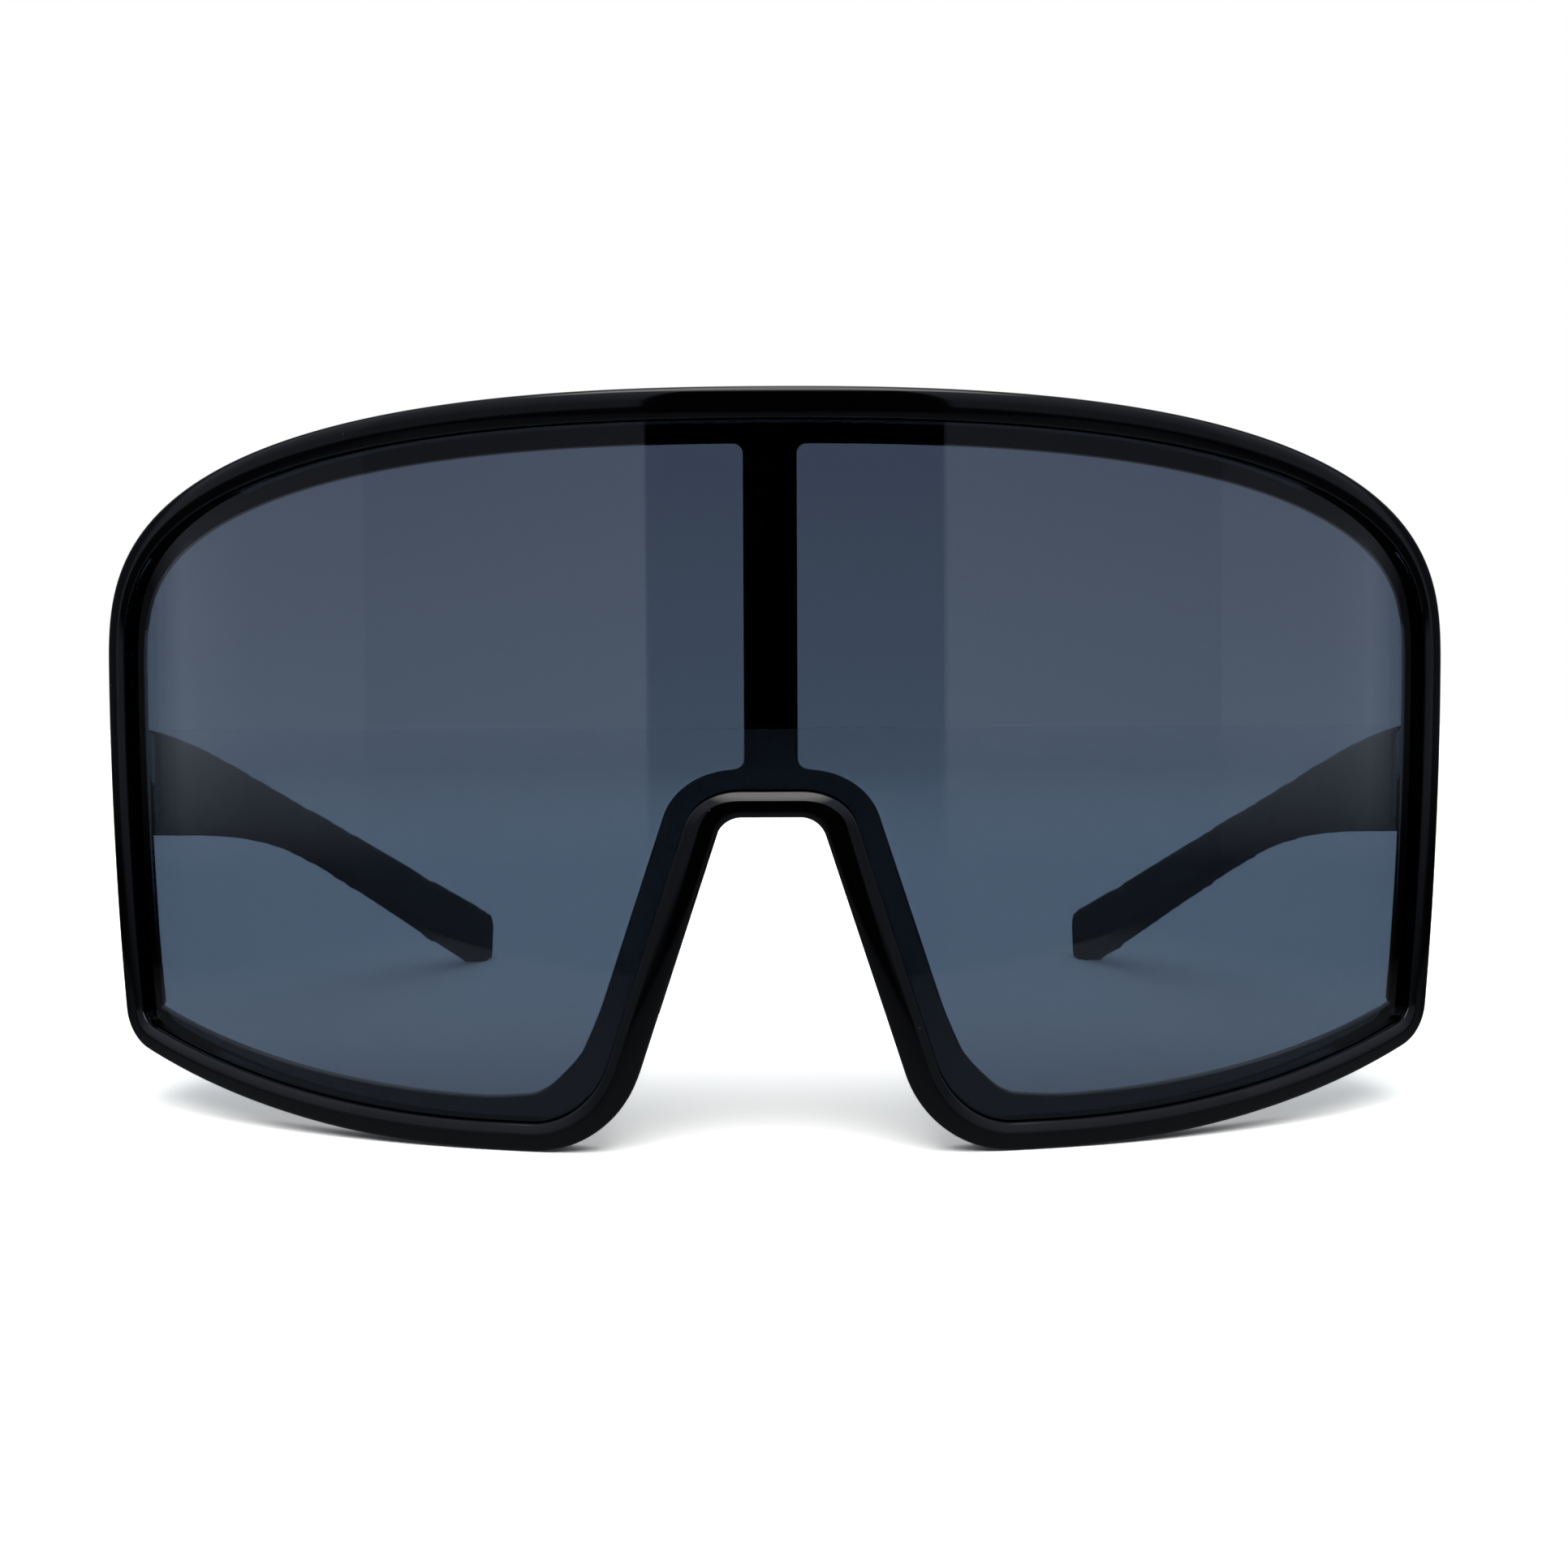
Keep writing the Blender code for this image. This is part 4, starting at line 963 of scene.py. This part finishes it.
# %% Loft the pads
PAD_TOP_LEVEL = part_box("nose_pad_left")[1].z
PAD_LENGTH = 0.0180
PAD_BASE_WIDTH = 0.0026
PAD_TIP_WIDTH = 0.0016
PAD_REACH = 0.0068
PAD_TOP_FLARE = math.radians(2.0)
PAD_LOW_FLARE = math.radians(34.0)
PAD_LEAN_POWER = 1.3
PAD_SHORTENING, PAD_SHORTENING_POWER = 0.9, 4
PAD_ROUND_START, PAD_ROUND_SPREAD = 0.78, 0.0525
PAD_ROWS = 40
PAD_STEPS = 12
PAD_SEAT = 0.00005


def leg_edge(level):
    """Where the nose opening's left edge lies at a level."""
    return NOSE_TOP_WIDTH / 2 + (NOSE_HEIGHT - level) * math.tan(NOSE_SPLAY)


def pad_ring(along):
    """One level of a left pad seen from above; the fin twists outward as it goes down."""
    level = PAD_TOP_LEVEL - PAD_LENGTH * along
    shortened = PAD_SHORTENING * (2 * along - 1) ** PAD_SHORTENING_POWER
    reach = PAD_REACH * math.sqrt(1 - shortened)
    lean = math.tan(mix(PAD_TOP_FLARE, PAD_LOW_FLARE, along))
    inner, outer = [], []
    for k in range(PAD_STEPS + 1):
        share = k / PAD_STEPS
        past_full = max(share - PAD_ROUND_START, 0.0)
        fullness = math.sqrt(1 - past_full ** 2 / PAD_ROUND_SPREAD)
        middle = leg_edge(level) + PAD_BASE_WIDTH / 2 + lean * reach * share ** PAD_LEAN_POWER
        half = mix(PAD_BASE_WIDTH, PAD_TIP_WIDTH, share) * fullness / 2
        back = PAD_SEAT + reach * share
        inner.append((middle - half, behind_crest(middle - half, RIM_DEPTH) + back, level))
        outer.append((middle + half, behind_crest(middle + half, RIM_DEPTH) + back, level))
    return inner + outer[::-1]


for side, word in SIDES:
    rings = [on_side(side, pad_ring(k / PAD_ROWS)) for k in range(PAD_ROWS + 1)]
    pad = new_piece(rolled_grid(rings, closed=False), f"pad_{word}", "front", pad_rubber,
                    f"nose_pad_{word}", 50)

# %% [markdown]
# ## Temples
# Each temple is a bar of the same black plastic with a satin skin, which spreads the room into a
# dull sheen. It leaves the hinge almost level, thins towards a waist, then droops and widens
# again to a tip that is cut square to its slope and rests on its lower corner. Its section is a
# rectangle with round edges. The sections lean with the middle line, so that the bar keeps an
# even look along the bend.

# %% Sizes along the temple
TEMPLE_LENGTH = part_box("temple_left")[1].y - HINGE_Y
TEMPLE_WAIST_HEIGHT = 0.00645
TEMPLE_TIP_HEIGHT = 0.0094
TEMPLE_WAIST_STATION = 0.0570
TEMPLE_BEND_STATION = 0.0660
TEMPLE_BEND_LEVEL = 0.02305
TEMPLE_ROOT_SLOPE = -0.09
TEMPLE_BEND_SLOPE = -0.31
TEMPLE_TIP_SLOPE = -0.40
TEMPLE_WIDENING_POWER = 1.5
TEMPLE_TILT_START = 0.0200
TEMPLE_SLOPE_STEP = 0.0001
TEMPLE_WAIST_THICKNESS = 0.0034
TEMPLE_TIP_THICKNESS = 0.0042
print("temple length", round(TEMPLE_LENGTH * 1000, 2), "mm")

# %% Place the tip on the table
TIP_ROUNDING = 0.0032
TIP_SINK = 0.00035
TIP_TILT = math.atan(-TEMPLE_TIP_SLOPE)
TIP_CORE = TEMPLE_TIP_HEIGHT / 2 - TIP_ROUNDING
TIP_STATION = (TEMPLE_LENGTH - TIP_ROUNDING * (1 - math.cos(TIP_TILT))
               - TIP_CORE * math.sin(TIP_TILT))
TIP_LEVEL = TIP_ROUNDING * (1 - math.sin(TIP_TILT)) - TIP_SINK + TIP_CORE * math.cos(TIP_TILT)
print("the tip leans", round(math.degrees(TIP_TILT), 1), "degrees")


# %% Follow the temple
def hermite(start, end, start_slope, end_slope, span, share):
    square = share * share
    cube = square * share
    return ((2 * cube - 3 * square + 1) * start + (cube - 2 * square + share) * span * start_slope
            + (3 * square - 2 * cube) * end + (cube - square) * span * end_slope)


def temple_height(station):
    """The temple's height across its middle line."""
    if station < TEMPLE_WAIST_STATION:
        return mix(TEMPLE_ROOT_HEIGHT, TEMPLE_WAIST_HEIGHT, ease(station / TEMPLE_WAIST_STATION))
    widened = (station - TEMPLE_WAIST_STATION) / (TIP_STATION - TEMPLE_WAIST_STATION)
    return mix(TEMPLE_WAIST_HEIGHT, TEMPLE_TIP_HEIGHT, widened ** TEMPLE_WIDENING_POWER)


def temple_level(station):
    """Height of the temple's middle line above the table."""
    if station < TEMPLE_BEND_STATION:
        return hermite(TEMPLE_ROOT_LEVEL, TEMPLE_BEND_LEVEL, TEMPLE_ROOT_SLOPE,
                       TEMPLE_BEND_SLOPE, TEMPLE_BEND_STATION, station / TEMPLE_BEND_STATION)
    span = TIP_STATION - TEMPLE_BEND_STATION
    return hermite(TEMPLE_BEND_LEVEL, TIP_LEVEL, TEMPLE_BEND_SLOPE, TEMPLE_TIP_SLOPE, span,
                   (station - TEMPLE_BEND_STATION) / span)


def temple_tilt(station):
    """How far a section leans with the middle line; at the hinge it stands upright."""
    ahead = temple_level(station + TEMPLE_SLOPE_STEP)
    slope = (ahead - temple_level(station)) / TEMPLE_SLOPE_STEP
    return math.atan(-slope) * ease(min(station / TEMPLE_TILT_START, 1.0))


def temple_thickness(station):
    if station < TEMPLE_WAIST_STATION:
        return mix(TEMPLE_ROOT_THICKNESS, TEMPLE_WAIST_THICKNESS,
                   ease(station / TEMPLE_WAIST_STATION))
    share = (station - TEMPLE_WAIST_STATION) / (TEMPLE_LENGTH - TEMPLE_WAIST_STATION)
    return mix(TEMPLE_WAIST_THICKNESS, TEMPLE_TIP_THICKNESS, ease(share))


# %% Draw the temple's sections
TEMPLE_WRAP = 0.0210
EDGE_LIMIT = 0.45
TEMPLE_ROWS = 120
TIP_ROWS = 12


def temple_ring(station, tilt, half, thinned):
    """A section of the left temple, leaning back by the tilt and never below the table."""
    inner = INNER_FACE_X - TEMPLE_WRAP * (station / TEMPLE_LENGTH) ** 2
    outer = inner + temple_thickness(station)
    radius = min(EDGE_ROUNDING, 2 * half * EDGE_LIMIT, (outer - inner - 2 * thinned) * EDGE_LIMIT)
    upright = rounded_rectangle(inner + thinned, outer - thinned, -half, half, radius, 0)
    level = temple_level(station)
    return [(x, HINGE_Y + station + across * math.sin(tilt),
             max(level + across * math.cos(tilt), 0.0)) for x, y, across in upright]


def temple_rings():
    """Sections from the hinge to the tip, whose corners are turned in the last few."""
    straight_end = TIP_STATION - TIP_ROUNDING * math.cos(TIP_TILT)
    rings = []
    for k in range(TEMPLE_ROWS):
        station = mix(FIT_GAP, straight_end, k / TEMPLE_ROWS)
        rings.append(temple_ring(station, temple_tilt(station), temple_height(station) / 2, 0.0))
    for k in range(TIP_ROWS + 1):
        turn = math.pi / 2 * k / TIP_ROWS
        from_end = TIP_ROUNDING * (1 - math.sin(turn))
        rounded = max(EDGE_ROUNDING - from_end, 0.0)
        thinned = EDGE_ROUNDING - math.sqrt(EDGE_ROUNDING ** 2 - rounded ** 2)
        half = TIP_CORE + TIP_ROUNDING * math.cos(turn)
        station = TIP_STATION - from_end * math.cos(TIP_TILT)
        rings.append(temple_ring(station, TIP_TILT, half, thinned))
    return rings


# %% Loft the temples and cut their hinge pockets
TEMPLE_LEAF_LENGTH = 0.0110
SWING_GAP = 0.0001
temple_plastic = moulded_black("satin_moulded_black_polycarbonate", "#030304", 0.50, 0.20)


def temple_solid(side):
    """The lofted bar with its slot, its pocket and room for the front's knuckles to swing."""
    rings = [on_side(side, ring) for ring in temple_rings()]
    swing_room = block((side * (HINGE_X - 2 * POCKET_RADIUS), HINGE_Y - POCKET_RADIUS,
                        HINGE_LEVEL - TEMPLE_ROOT_HEIGHT),
                       (side * (HINGE_X + FIT_GAP), HINGE_Y + POCKET_RADIUS + SWING_GAP,
                        HINGE_LEVEL + TEMPLE_ROOT_HEIGHT))
    slot = hinge_slot(side, -KNUCKLE_RADIUS, TEMPLE_LEAF_LENGTH + FIT_GAP)
    return combined(rolled_grid(rings, closed=False), [], [slot, knuckle_pocket(side), swing_room])


for side, word in SIDES:
    new_piece(temple_solid(side), f"temple_arm_{word}", f"{word}_temple", temple_plastic,
              f"temple_{word}")

# %% [markdown]
# ## Hinge steel
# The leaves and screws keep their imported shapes, which are right as they are. They are stamped
# and turned steel, blackened in a hot salt bath, so they are dark with a brownish-blue cast and
# a satin gloss that is worn brighter in spots. The spots are drawn about 1 mm wide, coarser than
# real ones, so that they show.

# %% Blacken the hinges
SPOT_SIZE = 0.0011111


def blackened_steel(name, dark, worn, roughness):
    """Steel whose tone and gloss wander between the bath's black and the worn metal."""
    material, tree, shader, place = start_material(name)
    bath = add_node(tree, "ShaderNodeTexNoise",
                    {"Vector": place, "Scale": 1 / SPOT_SIZE, "Detail": 4.0})
    tone = add_node(tree, "ShaderNodeMix", {"Factor": bath.outputs["Fac"], 6: linear(dark),
                                            7: linear(worn)}, data_type="RGBA")
    gloss = add_node(tree, "ShaderNodeMapRange",
                     {"Value": bath.outputs["Fac"], "To Min": roughness * 0.7,
                      "To Max": roughness * 1.3})
    set_inputs(shader, {"Base Color": tone.outputs[2], "Roughness": gloss, "Metallic": 1.0})
    return material


leaf_steel = blackened_steel("salt_bath_blackened_leaf_steel", "#2b2c30", "#55534f", 0.35)
screw_steel = blackened_steel("salt_bath_blackened_screw_steel", "#38393d", "#77746e", 0.28)
for name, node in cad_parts.items():
    if name.startswith("hinge_"):
        node.data.materials.clear()
        node.data.materials.append(screw_steel if "screw" in name else leaf_steel)
        print(name, len(node.data.polygons), "faces")
